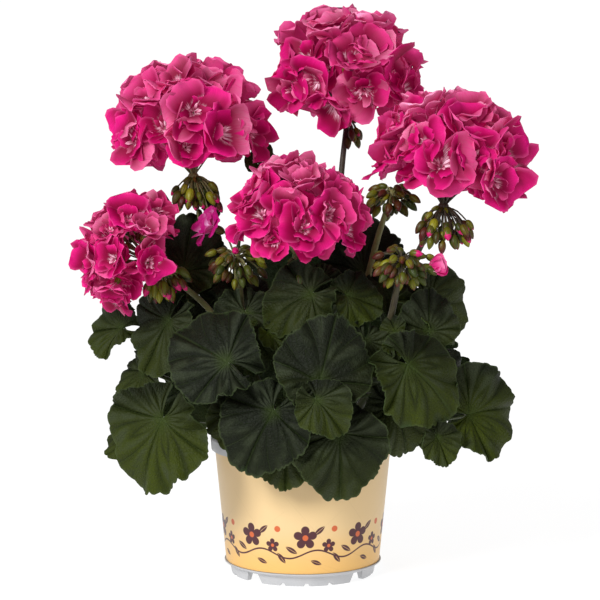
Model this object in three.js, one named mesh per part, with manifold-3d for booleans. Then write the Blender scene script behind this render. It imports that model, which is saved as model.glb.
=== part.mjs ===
import * as THREE from "three";
import { mergeVertices } from "three/addons/utils/BufferGeometryUtils.js";
import Module from "manifold-3d";

const wasm = await Module();
wasm.setup();

// Potted zonal geranium in bloom. Millimetres, +Z up, origin in the middle of the pot's foot on the ground.
// The viewer stands at -Y, so +X is the plant's right-hand side.

// Driving dimensions of the pot, its label and its soil
const POT_HEIGHT = 99;
const RIM_R = 66.5;
const RIM_SKIRT = 9;
const WALL_TOP_R = 62.4;
const WALL_FOOT_R = 54.6;
const WALL = 1.3;
const LEDGE_Z = 9.5;
const LEDGE_R = 56.6;
const FOOT_R = 51.5;
const FOOT_INNER_R = 47.5;
const FLOOR_Z = 5;
const FLOOR = 1.5;
const LABEL = 0.6;
const GAP = 0.3;
const WIDE_NOTCH = [[-7.5, -1], [7.5, -1], [4.5, 6.8], [-4.5, 6.8]];
const SMALL_NOTCH = [[-2.4, -1], [2.4, -1], [1.2, 1.9], [-1.2, 1.9]];
const SMALL_NOTCH_TURNS = [-19, 0, 19];
const NOTCH_DEPTH = 14;
const FRONT_TURN = 3;
const DRAIN_R = 3.5;
const DRAIN_RING_R = 34;
const SOIL_Z = 86;
const POT_SIDES = 32;
const STEM_R = 5.2;
const STEM_DEPTH = 30;

// Driving dimensions of the plant
const LEAF = 0.8;
const SINUS = 2.75;
const JUNCTION_SHIFT = 0.38;
const LOBES = 5;
const LOBING = 0.035;
const TOOTH_TIP = 1.03;
const TOOTH_ROOT = 0.945;
const INNER_ROW = 0.55;
const RIM_WAVE = 0.09;
const LARGE_LEAF = 30;
const PETIOLE_R = 1.5;
const NECK = 12;
const SAG = 3;
const SHOOT_R = 3.4;
const SPRIG_R = 1.6;
const LOWEST_PETIOLE = 4;
const HIGHEST_PETIOLE = 17;
const CUP = 0.1;
const DROOP = 0.12;
const STALK_R = 2.6;
const STALK_START = 8;
const PEDICEL_R = 0.8;
const PETAL = 0.8;
const CORE = 0.68;
const UNDERSIDE = -0.25;
const SUNK = 0.88;
const FLORET_SIZE = 0.36;
const FLORET_RISE = 0.8;
const RECEPTACLE = 0.45;
const HEAD_PEDICELS = 5;
const BUD_SIDES = 4;
const BUD_WIDTH = 0.28;
const BUD_DROOP = 0.9;
const UMBEL_TOP = 25;
const UMBEL_SPAN = 105;
const YOUNG_BUD = 11;
const GOLDEN_TURN = 2.39996;

const Z = new THREE.Vector3(0, 0, 1);

// Numbers between 0 and 1 that come out alike for the same seed.
function draws(seed) {
  let state = seed;
  return () => {
    state = (state * 16807) % 2147483647;
    return state / 2147483647;
  };
}

function vector(x, y, z) {
  return new THREE.Vector3(x, y, z);
}

// Point at distances along three directions from an origin.
function offset(origin, steps) {
  const point = origin.clone();
  steps.forEach(([direction, length]) => point.addScaledVector(direction, length));
  return point;
}

// Two directions square to an axis: the first is level.
function crossDirections(axis) {
  const level = Math.abs(axis.z) > 0.999 ? vector(1, 0, 0) : vector(-axis.y, axis.x, 0).normalize();
  return [level, new THREE.Vector3().crossVectors(axis, level)];
}

// Solids from surfaces, and joins and cuts

function solid(geometry) {
  const bare = geometry.index ? geometry.toNonIndexed() : geometry.clone();
  bare.deleteAttribute("normal");
  bare.deleteAttribute("uv");
  const merged = mergeVertices(bare, 1e-4);
  const corners = merged.index.array;
  const faces = [];
  for (let i = 0; i < corners.length; i += 3) {
    const [a, b, c] = [corners[i], corners[i + 1], corners[i + 2]];
    if (a !== b && b !== c && c !== a) faces.push(a, b, c);
  }
  const vertProperties = new Float32Array(merged.attributes.position.array);
  return new wasm.Manifold(new wasm.Mesh({ numProp: 3, vertProperties, triVerts: new Uint32Array(faces) }));
}

function fused(solids) {
  return solids.reduce((whole, piece) => whole.add(piece));
}

function cut(whole, tools) {
  return tools.reduce((left, tool) => left.subtract(tool), whole);
}

function geometryOf(made) {
  const { vertProperties, triVerts } = made.getMesh();
  const geometry = new THREE.BufferGeometry();
  geometry.setAttribute("position", new THREE.BufferAttribute(new Float32Array(vertProperties), 3));
  geometry.setIndex(new THREE.BufferAttribute(new Uint32Array(triVerts), 1));
  geometry.computeVertexNormals();
  return geometry;
}

// A turned body from [radius, height] points, standing on Z.
function turned(profile, sides) {
  const points = profile.map(([radius, height]) => new THREE.Vector2(radius, height));
  return new THREE.LatheGeometry(points, sides).rotateX(Math.PI / 2);
}

// A rod of one thickness along a smooth curve through the points.
function rod(points, radius, sides, steps) {
  const section = new THREE.Shape();
  for (let i = 0; i < sides; i++) {
    const angle = (i / sides) * 2 * Math.PI;
    section[i ? "lineTo" : "moveTo"](radius * Math.cos(angle), radius * Math.sin(angle));
  }
  const extrudePath = new THREE.CatmullRomCurve3(points, false, "catmullrom", 0.5);
  return solid(new THREE.ExtrudeGeometry(section, { steps, extrudePath, bevelEnabled: false }));
}

// A thin closed sheet from points on its middle surface and triangles between them.
// Both faces are split into the same triangles.
function sheet(points, faces, thickness) {
  const normals = points.map(() => vector(0, 0, 0));
  faces.forEach((face) => {
    const [p, q, r] = face.map((corner) => points[corner]);
    const normal = q.clone().sub(p).cross(r.clone().sub(p));
    face.forEach((corner) => normals[corner].add(normal));
  });
  normals.forEach((normal) => normal.setLength(thickness / 2));
  const upper = points.map((point, n) => point.clone().add(normals[n]));
  const lower = points.map((point, n) => point.clone().sub(normals[n]));
  const edges = new Map();
  const index = [];
  const count = points.length;
  faces.forEach(([a, b, c]) => {
    index.push(a, b, c, count + a, count + c, count + b);
    const around = [[a, b], [b, c], [c, a]];
    around.forEach(([from, to]) => edges.set(from + "-" + to, [from, to]));
  });
  edges.forEach(([from, to]) => {
    if (!edges.has(to + "-" + from)) index.push(to, from, count + from, to, count + from, count + to);
  });
  const geometry = new THREE.BufferGeometry().setFromPoints([...upper, ...lower]);
  geometry.setIndex(index);
  return solid(geometry);
}

// A sheet from rows of points, each row wider than the one before.
function blade(rows, thickness) {
  const faces = [];
  let first = 0;
  for (let k = 0; k + 1 < rows.length; k++) {
    const [near, far] = [rows[k].length - 1, rows[k + 1].length - 1];
    const next = first + near + 1;
    let [i, j] = [0, 0];
    while (i < near || j < far) {
      const alongFar = i === near || (j < far && (j + 0.5) / far <= (i + 0.5) / near);
      if (alongFar) {
        faces.push([first + i, next + j, next + j + 1]);
        j += 1;
      } else {
        faces.push([first + i, next + j, first + i + 1]);
        i += 1;
      }
    }
    first = next;
  }
  return sheet(rows.flat(), faces, thickness);
}

// Pot: one moulding with a rolled rim, a tapered wall, a ledge for the label and a notched foot ring

function wallRadius(z) {
  return WALL_FOOT_R + ((z - LEDGE_Z) / (POT_HEIGHT - RIM_SKIRT - LEDGE_Z)) * (WALL_TOP_R - WALL_FOOT_R);
}

// The tool for one notch through the foot ring, so many degrees round from the viewer.
function footNotch(turn, outline) {
  const notch = new THREE.Shape(outline.map(([x, z]) => new THREE.Vector2(x, z)));
  const geometry = new THREE.ExtrudeGeometry(notch, { depth: NOTCH_DEPTH, bevelEnabled: false });
  geometry.rotateX(Math.PI / 2);
  geometry.translate(0, -FOOT_INNER_R + 4, 0);
  return solid(geometry.rotateZ(THREE.MathUtils.degToRad(turn)));
}

function makePot() {
  const skirtZ = POT_HEIGHT - RIM_SKIRT;
  const body = solid(
    turned(
      [
        [0, FLOOR_Z],
        [FOOT_INNER_R, FLOOR_Z],
        [FOOT_INNER_R, 0],
        [FOOT_R, 0],
        [FOOT_R + 1.2, LEDGE_Z - 3],
        [LEDGE_R, LEDGE_Z],
        [WALL_FOOT_R, LEDGE_Z],
        [WALL_TOP_R, skirtZ],
        [RIM_R - 0.6, skirtZ],
        [RIM_R, POT_HEIGHT - 1],
        [RIM_R - 1, POT_HEIGHT],
        [WALL_TOP_R - 0.6, POT_HEIGHT],
        [WALL_TOP_R - WALL, skirtZ - 2],
        [WALL_FOOT_R - WALL - 0.5, FLOOR_Z + FLOOR],
        [0, FLOOR_Z + FLOOR],
      ],
      POT_SIDES,
    ),
  );
  const cuts = [];
  for (let quarter = 0; quarter < 4; quarter++) {
    const middle = FRONT_TURN + 90 * quarter;
    cuts.push(footNotch(middle + 45, WIDE_NOTCH));
    SMALL_NOTCH_TURNS.forEach((step) => cuts.push(footNotch(middle + step, SMALL_NOTCH)));
    const drain = new THREE.CylinderGeometry(DRAIN_R, DRAIN_R, FLOOR + 2, 8).rotateX(Math.PI / 2);
    drain.translate(0, -DRAIN_RING_R, FLOOR_Z + FLOOR / 2);
    cuts.push(solid(drain.rotateZ(THREE.MathUtils.degToRad(middle))));
  }
  return cut(body, cuts);
}

// Label: a printed film sleeve round the wall, standing on the ledge

function makeLabel() {
  const low = LEDGE_Z + GAP;
  const high = POT_HEIGHT - RIM_SKIRT - GAP;
  const ring = [
    [wallRadius(low) + GAP, low],
    [wallRadius(low) + GAP + LABEL, low],
    [wallRadius(high) + GAP + LABEL, high],
    [wallRadius(high) + GAP, high],
    [wallRadius(low) + GAP, low],
  ];
  return solid(turned(ring, POT_SIDES));
}

// Soil: a root ball that fills the pot, crumbly on top, with a plain hole for the stem

function makeSoil() {
  const low = FLOOR_Z + FLOOR + GAP;
  const inner = (z) => wallRadius(z) - WALL - 2 * GAP;
  const geometry = turned(
    [
      [0, low],
      [inner(low) - 2.5, low],
      [inner(low + 3), low + 3],
      [inner(SOIL_Z - 2) - 0.5, SOIL_Z - 2],
      [46, SOIL_Z],
      [30, SOIL_Z + 1],
      [14, SOIL_Z + 2],
      [0, SOIL_Z + 2],
    ],
    24,
  );
  const place = geometry.attributes.position;
  for (let i = 0; i < place.count; i++) {
    const [x, y, z] = [place.getX(i), place.getY(i), place.getZ(i)];
    const inside = Math.hypot(x, y);
    const crumbs = 1.1 * Math.sin(0.31 * x + 1.7 * Math.sin(0.23 * y)) + 0.8 * Math.cos(0.37 * y + 0.2 * x);
    if (z > SOIL_Z - 1 && inside > 10) place.setZ(i, z + crumbs);
  }
  const tall = STEM_DEPTH + 20;
  const hole = new THREE.CylinderGeometry(STEM_R + GAP, STEM_R + GAP, tall, 16).rotateX(Math.PI / 2);
  hole.translate(0, 0, SOIL_Z - STEM_DEPTH + tall / 2);
  return cut(solid(geometry), [solid(hole)]);
}

// Shoots: the routes of the branches, from the stem base outwards

const CROWN = [0, 0, SOIL_Z + 9];
const SHOOTS = {
  frontLeft: [CROWN, [-18, -14, 106], [-38, -24, 142], [-43, -26, 190]],
  frontRight: [CROWN, [20, -16, 108], [46, -32, 145], [58, -44, 180]],
  front: [CROWN, [2, -22, 112], [0, -34, 150], [-3, -36, 192]],
  backLeft: [CROWN, [-20, 18, 110], [-44, 24, 160], [-58, 18, 222]],
  backRight: [CROWN, [12, 22, 112], [24, 38, 160], [26, 36, 222]],
  left: [CROWN, [-26, 2, 104], [-50, -10, 135], [-58, -20, 160]],
  right: [CROWN, [26, 6, 104], [54, 4, 140], [72, -8, 188]],
  middle: [CROWN, [14, 8, 108], [30, 14, 150], [44, 16, 200]],
};
const SPRIG = [[-50, 22, 196], [-46, 25, 240], [-36, 25, 275], [-27, 25, 294]];

function curve(points) {
  return new THREE.CatmullRomCurve3(points.map((point) => vector(...point)), false, "catmullrom", 0.5);
}

// Direction of a turn round from the viewer to the right and an angle down from upright, in degrees.
function direction(around, down) {
  const [a, d] = [around, down].map(THREE.MathUtils.degToRad);
  return vector(Math.sin(a) * Math.sin(d), -Math.cos(a) * Math.sin(d), Math.cos(d));
}

// Leaves. at is the junction of blade and petiole, faces is where the blade looks (degrees round from the
// viewer to the right, degrees above level), and tip is how it is turned (0 hangs down, 90 points right,
// 180 stands up).

const LEAVES = [
  { at: [-96, -75, 123], faces: [-25, 12], tip: -22, size: 38, fold: 0.12 },
  { at: [-51, -91, 164], faces: [-14, 22], tip: -118, size: 34, fold: 0 },
  { at: [11, -98, 151], faces: [2, 10], tip: 165, size: 33, fold: 0.05 },
  { at: [9, -109, 141.5], faces: [5, 16], tip: 40, size: 20, fold: 0.2 },
  { at: [-20, -92, 131], faces: [-10, 18], tip: -28, size: 32, fold: 0.05 },
  { at: [24, -88.5, 116], faces: [8, 10], tip: 4, size: 33, fold: 0.1 },
  { at: [-12, -82, 109], faces: [-5, 8], tip: 0, size: 24, fold: 0.1 },
  { at: [-47, -56, 125], faces: [-20, 10], tip: -5, size: 20, fold: 0.2 },
  { at: [62, -64, 132], faces: [22, 8], tip: 25, size: 28, fold: 0.1 },
  { at: [71, -86, 162], faces: [25, 20], tip: 48, size: 34, fold: -0.2 },
  { at: [87, -52, 180], faces: [15, 12], tip: 172, size: 22, fold: 0.1 },
  { at: [88, -30, 202], faces: [40, 20], tip: 60, size: 31, fold: 0.1 },
  { at: [115, -50, 122], faces: [30, 15], tip: 95, size: 34, fold: 0.15 },
  { at: [98, -37, 149], faces: [50, 25], tip: 60, size: 24, fold: 0 },
  { at: [92, -72, 110], faces: [20, 20], tip: 20, size: 15, fold: 0.4, via: [96, -42, 117] },
  { at: [6, -62, 208], faces: [-10, 30], tip: -60, size: 27, fold: 0.1 },
  { at: [30, -56, 206], faces: [20, 30], tip: 70, size: 20, fold: 0.2 },
  { at: [-130, 6, 176], faces: [-40, 30], tip: -85, size: 24, fold: 0.35 },
  { at: [-113, -8, 147], faces: [-50, 20], tip: -10, size: 25, fold: 0.1 },
  { at: [-94, -30, 186], faces: [-36, 15], tip: -30, size: 31, fold: 0.1 },
  { at: [-85, 1, 217], faces: [-15, 10], tip: 178, size: 31, fold: 0.1 },
  { at: [44, 22, 215], faces: [10, 10], tip: 178, size: 30, fold: 0.1 },
  { at: [-40, -44, 193], faces: [-10, 30], tip: 10, size: 29, fold: 0.1 },
  { at: [-90, 11, 177], faces: [-20, 5], tip: 178, size: 21, fold: 0.1 },
  { at: [-118, -45, 108], faces: [-40, 15], tip: -90, size: 20, fold: 0.5 },
  { at: [43, -62, 176], faces: [15, 25], tip: -10, size: 20, fold: 0.1 },
  { at: [55, -24, 211], faces: [20, 35], tip: 30, size: 17, fold: 0.1 },
  { at: [73, 73, 130], faces: [135, 12], tip: 0, size: 36, fold: 0.1 },
  { at: [18, 93, 128], faces: [170, 12], tip: 0, size: 33, fold: 0.05 },
  { at: [-42, 95, 126], faces: [205, 12], tip: 5, size: 35, fold: 0.1 },
  { at: [-86, 48, 128], faces: [240, 12], tip: 0, size: 34, fold: 0.1 },
  { at: [114, 24, 135], faces: [95, 12], tip: 5, size: 35, fold: 0.1 },
  { at: [-112, 5, 110], faces: [-85, 12], tip: 0, size: 30, fold: 0.1 },
  { at: [40, 68, 186], faces: [150, 28], tip: 0, size: 33, fold: 0.1 },
  { at: [-14, 76, 184], faces: [185, 28], tip: 10, size: 33, fold: 0.1 },
  { at: [-45, 0, 180], faces: [-8, 8], tip: 175, size: 27, fold: 0.1 },
  { at: [86, 41, 185], faces: [115, 28], tip: 0, size: 33, fold: 0.1 },
  { at: [-6, 41, 227], faces: [185, 45], tip: 0, size: 31, fold: 0.1 },
];
const SPRIG_LEAVES = [
  { at: [-27, 25, 294], faces: [10, 30], tip: 130, size: 6, fold: 0.2 },
  { at: [-29, 25, 289], faces: [-30, 40], tip: 95, size: 5, fold: 0.2 },
  { at: [-33, 25, 283], faces: [20, 10], tip: -120, size: 5, fold: 0.2 },
];

function leafFrame(leaf) {
  const [a, e] = leaf.faces.map(THREE.MathUtils.degToRad);
  const t = THREE.MathUtils.degToRad(leaf.tip);
  const face = vector(Math.sin(a) * Math.cos(e), -Math.cos(a) * Math.cos(e), Math.sin(e));
  const right = vector(Math.cos(a), Math.sin(a), 0);
  const up = new THREE.Vector3().crossVectors(face, right);
  const tip = right.clone().multiplyScalar(Math.sin(t)).addScaledVector(up, -Math.cos(t));
  return { face, tip, side: new THREE.Vector3().crossVectors(face, tip) };
}

// Distance from the junction to the blade's edge: a circle whose middle lies towards the tip, with lobes.
function leafReach(angle, size) {
  const shift = JUNCTION_SHIFT * size;
  const circle = shift * Math.cos(angle) + Math.sqrt(size ** 2 - (shift * Math.sin(angle)) ** 2);
  return circle * (1 + LOBING * Math.cos(LOBES * angle));
}

function leafPoint(leaf, share, angle, edge) {
  const { face, tip, side } = leafFrame(leaf);
  const [x, y, z] = leaf.at;
  const reach = share * leafReach(angle, leaf.size) * edge;
  const [along, across] = [reach * Math.cos(angle), reach * Math.sin(angle)];
  const phase = 0.05 * (x + 2 * y + 3 * z);
  const wave = RIM_WAVE * leaf.size * share ** 2 * Math.sin(3 * angle + phase);
  const droop = (CUP * reach ** 2 + DROOP * Math.max(along, 0) ** 2) / leaf.size;
  const height = leaf.fold * Math.abs(across) - droop + wave;
  return offset(vector(x, y, z), [[tip, along], [side, across], [face, height]]);
}

function makeLeaf(leaf, edgePoints) {
  const row = (count, share, edge) =>
    Array.from({ length: count }, (_, i) => {
      const angle = SINUS * ((2 * i) / (count - 1) - 1);
      return leafPoint(leaf, share, angle, edge(i));
    });
  const teeth = (i) => (i % 2 ? TOOTH_TIP : TOOTH_ROOT);
  const inner = (edgePoints - 1) / 2;
  const rows = [[leafPoint(leaf, 0, 0, 1)], row(inner, INNER_ROW, () => 1), row(edgePoints, 1, teeth)];
  return blade(rows, LEAF);
}

// A petiole leaves the nearest place on a shoot that is not above its blade.
function petioleStart(junction) {
  let [best, shortest] = [null, Infinity];
  Object.values(SHOOTS).forEach((points) => {
    for (let step = LOWEST_PETIOLE; step <= HIGHEST_PETIOLE; step++) {
      const place = curve(points).getPoint(step / 20);
      const length = place.distanceTo(junction) + 2 * Math.max(0, place.z + NECK - junction.z);
      if (length < shortest) [best, shortest] = [place, length];
    }
  });
  return best;
}

function makePetiole(leaf) {
  const { face } = leafFrame(leaf);
  const end = offset(vector(...leaf.at), [[face, -LEAF / 2 - 2 * GAP]]);
  const neck = offset(end, [[face, -NECK]]);
  const start = petioleStart(leaf.via ? vector(...leaf.via) : neck);
  const sag = start.clone().lerp(neck, 0.5);
  sag.z = Math.max(sag.z - SAG, POT_HEIGHT + 2 * SAG);
  return rod([start, leaf.via ? vector(...leaf.via) : sag, neck, end], PETIOLE_R, 3, 3);
}

function makeStems() {
  const base = rod([vector(0, 0, SOIL_Z - STEM_DEPTH + GAP), vector(0, 0, SOIL_Z + 13)], STEM_R, 8, 1);
  const shoots = Object.values(SHOOTS).map((points) => rod(curve(points).points, SHOOT_R, 5, 5));
  const sprig = rod(curve(SPRIG).points, SPRIG_R, 3, 4);
  const sprigLeaves = SPRIG_LEAVES.map((leaf) => makeLeaf(leaf, 7));
  return fused([base, ...shoots, sprig, ...sprigLeaves, ...LEAVES.map(makePetiole)]);
}

// Buds: pointed green ovals, each one piece with its thin pedicel

// A rod that changes in thickness along its points and ends in a tip.
function taperedRod(points, radii, sides) {
  const corners = [];
  const index = [];
  points.slice(0, -1).forEach((point, ring) => {
    const along = points[ring + 1].clone().sub(points[Math.max(ring - 1, 0)]).normalize();
    const [first, second] = crossDirections(along);
    for (let i = 0; i < sides; i++) {
      const angle = (i / sides) * 2 * Math.PI;
      const spread = [[first, radii[ring] * Math.cos(angle)], [second, radii[ring] * Math.sin(angle)]];
      corners.push(offset(point, spread));
      const [here, next] = [ring * sides + i, ring * sides + ((i + 1) % sides)];
      if (ring + 2 < points.length) {
        index.push(here, next, next + sides, here, next + sides, here + sides);
      } else {
        index.push(here, next, (ring + 1) * sides);
      }
      if (ring === 0 && i > 1) index.push(0, i, i - 1);
    }
  });
  const geometry = new THREE.BufferGeometry().setFromPoints([...corners, points[points.length - 1]]);
  return solid(geometry.setIndex(index));
}

// A bud hangs, for its pedicel droops as it leaves the receptacle.
function hangingBud(root, around, down, reach, length) {
  const out = direction(around, down);
  const bend = offset(root, [[out, 0.55 * reach], [Z, 0.02 * reach]]);
  const base = offset(root, [[out, reach], [Z, -0.25 * reach]]);
  const along = offset(out, [[Z, -BUD_DROOP]]).normalize();
  const widest = offset(base, [[along, 0.4 * length]]);
  const tip = offset(base, [[along, length]]);
  const radii = [PEDICEL_R, PEDICEL_R, PEDICEL_R, BUD_WIDTH * length];
  return taperedRod([root, bend, base, widest, tip], radii, BUD_SIDES);
}

// Flower heads. Each has a dome of florets on a small core, and a stalk of its own from a shoot's end. A
// bud of the stalk is given by its turn, its angle down from upright, its pedicel's length and its own.

const HEADS = [
  {
    name: "A", centre: [-81, 15, 311], axis: [-0.08, -0.1, 1], radius: 59, florets: 13, cover: 1.15,
    turn: 0.4, shoot: "backLeft", path: [[-66, 22, 255]],
    buds: [
      [-60, 120, 15, 12], [-35, 130, 18, 13], [-10, 145, 14, 11], [40, 140, 16, 10],
      [200, 130, 16, 12],
    ],
  },
  {
    name: "B", centre: [33, 60, 351], axis: [0, -0.12, 1], radius: 56, florets: 13, cover: 1.25, turn: 1,
    shoot: "backRight", path: [[28, 46, 280]],
    buds: [[30, 135, 14, 10], [150, 130, 15, 11]],
  },
  {
    name: "C", centre: [102, -24, 291], axis: [0.12, -0.1, 1], radius: 58, florets: 13, cover: 1.15, turn: 2,
    shoot: "right", path: [[79, -12, 226]],
    buds: [
      [-100, 110, 14, 11], [-60, 125, 20, 12], [-20, 130, 22, 13], [20, 130, 24, 13],
      [60, 125, 24, 12], [100, 120, 22, 12], [170, 125, 20, 12],
    ],
  },
  {
    name: "D", centre: [-3, -48, 252], axis: [0, -0.25, 1], radius: 50, florets: 11, cover: 1.15, turn: 0.2,
    shoot: "front", path: [[-3, -38, 214]],
    buds: [[20, 135, 15, 11], [60, 130, 14, 10], [-100, 120, 12, 10]],
  },
  {
    name: "E", centre: [-116, -32, 233], axis: [-0.75, -0.4, 0.5], radius: 44, florets: 8, cover: 1.1,
    turn: 0, shoot: "left", path: [[-66, -9, 190]],
    buds: [
      [60, 60, 12, 10], [90, 90, 18, 12], [70, 120, 16, 12], [30, 130, 16, 13],
      [0, 150, 14, 12], [-30, 140, 15, 12], [120, 110, 12, 10],
    ],
  },
];

// A floret is a funnel of five broad petals, each with one edge under and one over its neighbours'.
function makeFloret(origin, out, turn, size, rise, draw) {
  const [first, second] = crossDirections(out);
  const place = (angle, far, up) =>
    offset(origin, [[first, far * Math.cos(angle)], [second, far * Math.sin(angle)], [out, up]]);
  const points = [origin];
  const faces = [];
  for (let k = 0; k < 5; k++) {
    const middle = turn + (k / 5) * 2 * Math.PI;
    const length = size * (0.92 + 0.16 * draw());
    const lift = rise * (0.85 + 0.25 * draw());
    points.push(place(middle - Math.PI / 5, 0.3 * size, 0.3 * rise));
    points.push(place(middle - 0.52, 0.92 * length, lift - 0.08 * size));
    points.push(place(middle + 0.52, 0.98 * length, lift + 0.12 * size));
    const [notch, left, right] = [1, 2, 3].map((n) => 3 * k + n);
    const next = 3 * ((k + 1) % 5) + 1;
    faces.push([0, notch, next], [notch, left, right], [notch, right, next]);
  }
  return sheet(points, faces, PETAL);
}

function headFrame(head) {
  const axis = vector(...head.axis).normalize();
  const [first, second] = crossDirections(axis);
  return { centre: vector(...head.centre), axis, first, second, core: CORE * head.radius };
}

// Florets are spread evenly over the dome, from its top to below its waist.
function makePetals(head) {
  const { centre, axis, first, second, core } = headFrame(head);
  const draw = draws(7 + head.name.charCodeAt(0));
  const cap = [
    [0, UNDERSIDE * core],
    [0.88 * core, UNDERSIDE * core],
    [core, 0.05 * core],
    [0.8 * core, 0.6 * core],
    [0, core],
  ];
  const turn = new THREE.Quaternion().setFromUnitVectors(Z, axis);
  const dome = solid(turned(cap, 8).applyQuaternion(turn).translate(centre.x, centre.y, centre.z));
  const florets = [];
  for (let i = 0; i < head.florets; i++) {
    const height = 1 - ((i + 0.5) / head.florets) * head.cover;
    const around = head.turn + i * GOLDEN_TURN;
    const level = Math.sqrt(1 - height ** 2);
    const out = offset(vector(0, 0, 0), [
      [first, level * Math.cos(around)],
      [second, level * Math.sin(around)],
      [axis, height],
    ]);
    const origin = offset(centre, [[out, SUNK * core]]);
    const size = FLORET_SIZE * head.radius;
    florets.push(makeFloret(origin, out, draw() * 6, size, FLORET_RISE * size, draw));
  }
  return fused([dome, ...florets]);
}

// The stalk: it stands on its shoot's end and spreads at the top into pedicels that reach under the dome.
function stalkRod(shoot, path, top) {
  const carrier = curve(SHOOTS[shoot]);
  const away = carrier.getTangent(1);
  const foot = offset(carrier.getPoint(1), [[away, GAP]]);
  const neck = offset(foot, [[away, STALK_START]]);
  return rod([foot, neck, ...path.map((point) => vector(...point)), top], STALK_R, 5, 5);
}

function makeHeadStalk(head) {
  const { centre, axis, first, second, core } = headFrame(head);
  const root = offset(centre, [[axis, -RECEPTACLE * head.radius]]);
  const roof = RECEPTACLE * head.radius + UNDERSIDE * core;
  const pieces = [stalkRod(head.shoot, head.path, root), knuckle(root)];
  pieces.push(rod([root, offset(root, [[axis, roof - GAP]])], PEDICEL_R, 3, 1));
  for (let i = 0; i < HEAD_PEDICELS; i++) {
    const around = i * GOLDEN_TURN;
    const far = (0.4 + 0.08 * i) * core;
    const reach = [[first, far * Math.cos(around)], [second, far * Math.sin(around)], [axis, roof - 1.3]];
    pieces.push(rod([root, offset(root, reach)], PEDICEL_R, 3, 1));
  }
  head.buds.forEach(([around, down, reach, length]) => {
    pieces.push(hangingBud(root, around, down, reach, length));
  });
  return fused(pieces);
}

function knuckle(place) {
  return solid(new THREE.IcosahedronGeometry(1.5 * STALK_R, 0).translate(place.x, place.y, place.z));
}

// Umbels still in bud. Two have a first flower on a pedicel that rises: at is its throat.

const BUD_UMBELS = [
  {
    name: "F", at: [68, -62, 229], shoot: "frontRight", path: [[63, -52, 200]],
    buds: 10, spread: 17, turn: 1,
    first: { at: [86, -62, 226], looks: [90, 80], size: 6, rise: 12 },
  },
  { name: "G", at: [64, 12, 272], shoot: "middle", path: [[54, 15, 240]], buds: 8, spread: 13, turn: 2 },
  {
    name: "H", at: [-47, -26, 229], shoot: "frontLeft", path: [[-44, -26, 205]],
    buds: 9, spread: 16, turn: 0,
    first: { at: [-62, -22, 250], looks: [-90, 55], size: 13, rise: 11 },
  },
];

function makeBudUmbel(umbel) {
  const root = vector(...umbel.at);
  const pieces = [stalkRod(umbel.shoot, umbel.path, root), knuckle(root)];
  const draw = draws(11 + umbel.buds);
  for (let i = 0; i < umbel.buds; i++) {
    const down = UMBEL_TOP + (UMBEL_SPAN * (i + 0.5)) / umbel.buds;
    const around = THREE.MathUtils.radToDeg(umbel.turn + i * GOLDEN_TURN);
    const reach = umbel.spread * (0.7 + 0.5 * draw());
    pieces.push(hangingBud(root, around, down, reach, YOUNG_BUD + 3 * draw()));
  }
  if (umbel.first) {
    const out = direction(...umbel.first.looks);
    const [tip, middle, base] = [1, 5, 8].map((back) => offset(vector(...umbel.first.at), [[out, -back]]));
    pieces.push(taperedRod([root, base, middle, tip], [PEDICEL_R, PEDICEL_R, 2.2], BUD_SIDES));
  }
  return fused(pieces);
}

function makeFirstFlower({ at, looks, size, rise }) {
  return makeFloret(vector(...at), direction(...looks), 0.5, size, rise, draws(5));
}

// Scene graph

function finish(color, roughness) {
  return new THREE.MeshStandardMaterial({ color: new THREE.Color(...color), roughness, metalness: 0 });
}

const GREY_PLASTIC = finish([0.6, 0.6, 0.61], 0.45);
const PRINTED_FILM = finish([0.9, 0.62, 0.3], 0.35);
const PEAT = finish([0.04, 0.03, 0.02], 0.95);
const GREEN_STEM = finish([0.1, 0.14, 0.04], 0.6);
const LEAF_GREEN = finish([0.03, 0.06, 0.02], 0.5);
const MAGENTA = finish([0.6, 0.01, 0.12], 0.5);
const DARK_STALK = finish([0.08, 0.09, 0.03], 0.6);
const BUD_GREEN = finish([0.2, 0.24, 0.05], 0.6);
const LILAC_PINK = finish([0.6, 0.05, 0.25], 0.5);

const part = new THREE.Group();

function add(name, made, material) {
  const mesh = new THREE.Mesh(geometryOf(made), material);
  mesh.name = name;
  part.add(mesh);
}

add("pot", makePot(), GREY_PLASTIC);
add("label", makeLabel(), PRINTED_FILM);
add("soil", makeSoil(), PEAT);
add("stems", makeStems(), GREEN_STEM);
LEAVES.forEach((leaf, i) => {
  const edgePoints = leaf.size < LARGE_LEAF ? 15 : 19;
  add("leaf_" + String(i + 1).padStart(2, "0"), makeLeaf(leaf, edgePoints), LEAF_GREEN);
});
HEADS.forEach((head) => {
  add("head_" + head.name + "_petals", makePetals(head), MAGENTA);
  add("head_" + head.name + "_stalk", makeHeadStalk(head), DARK_STALK);
});
BUD_UMBELS.forEach((umbel) => {
  const node = "buds_" + umbel.name;
  add(node, makeBudUmbel(umbel), BUD_GREEN);
  if (umbel.first) add(node + "_flower", makeFirstFlower(umbel.first), LILAC_PINK);
});

export default part;
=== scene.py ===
import math

import bpy
import numpy as np
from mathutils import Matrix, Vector, noise


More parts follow.
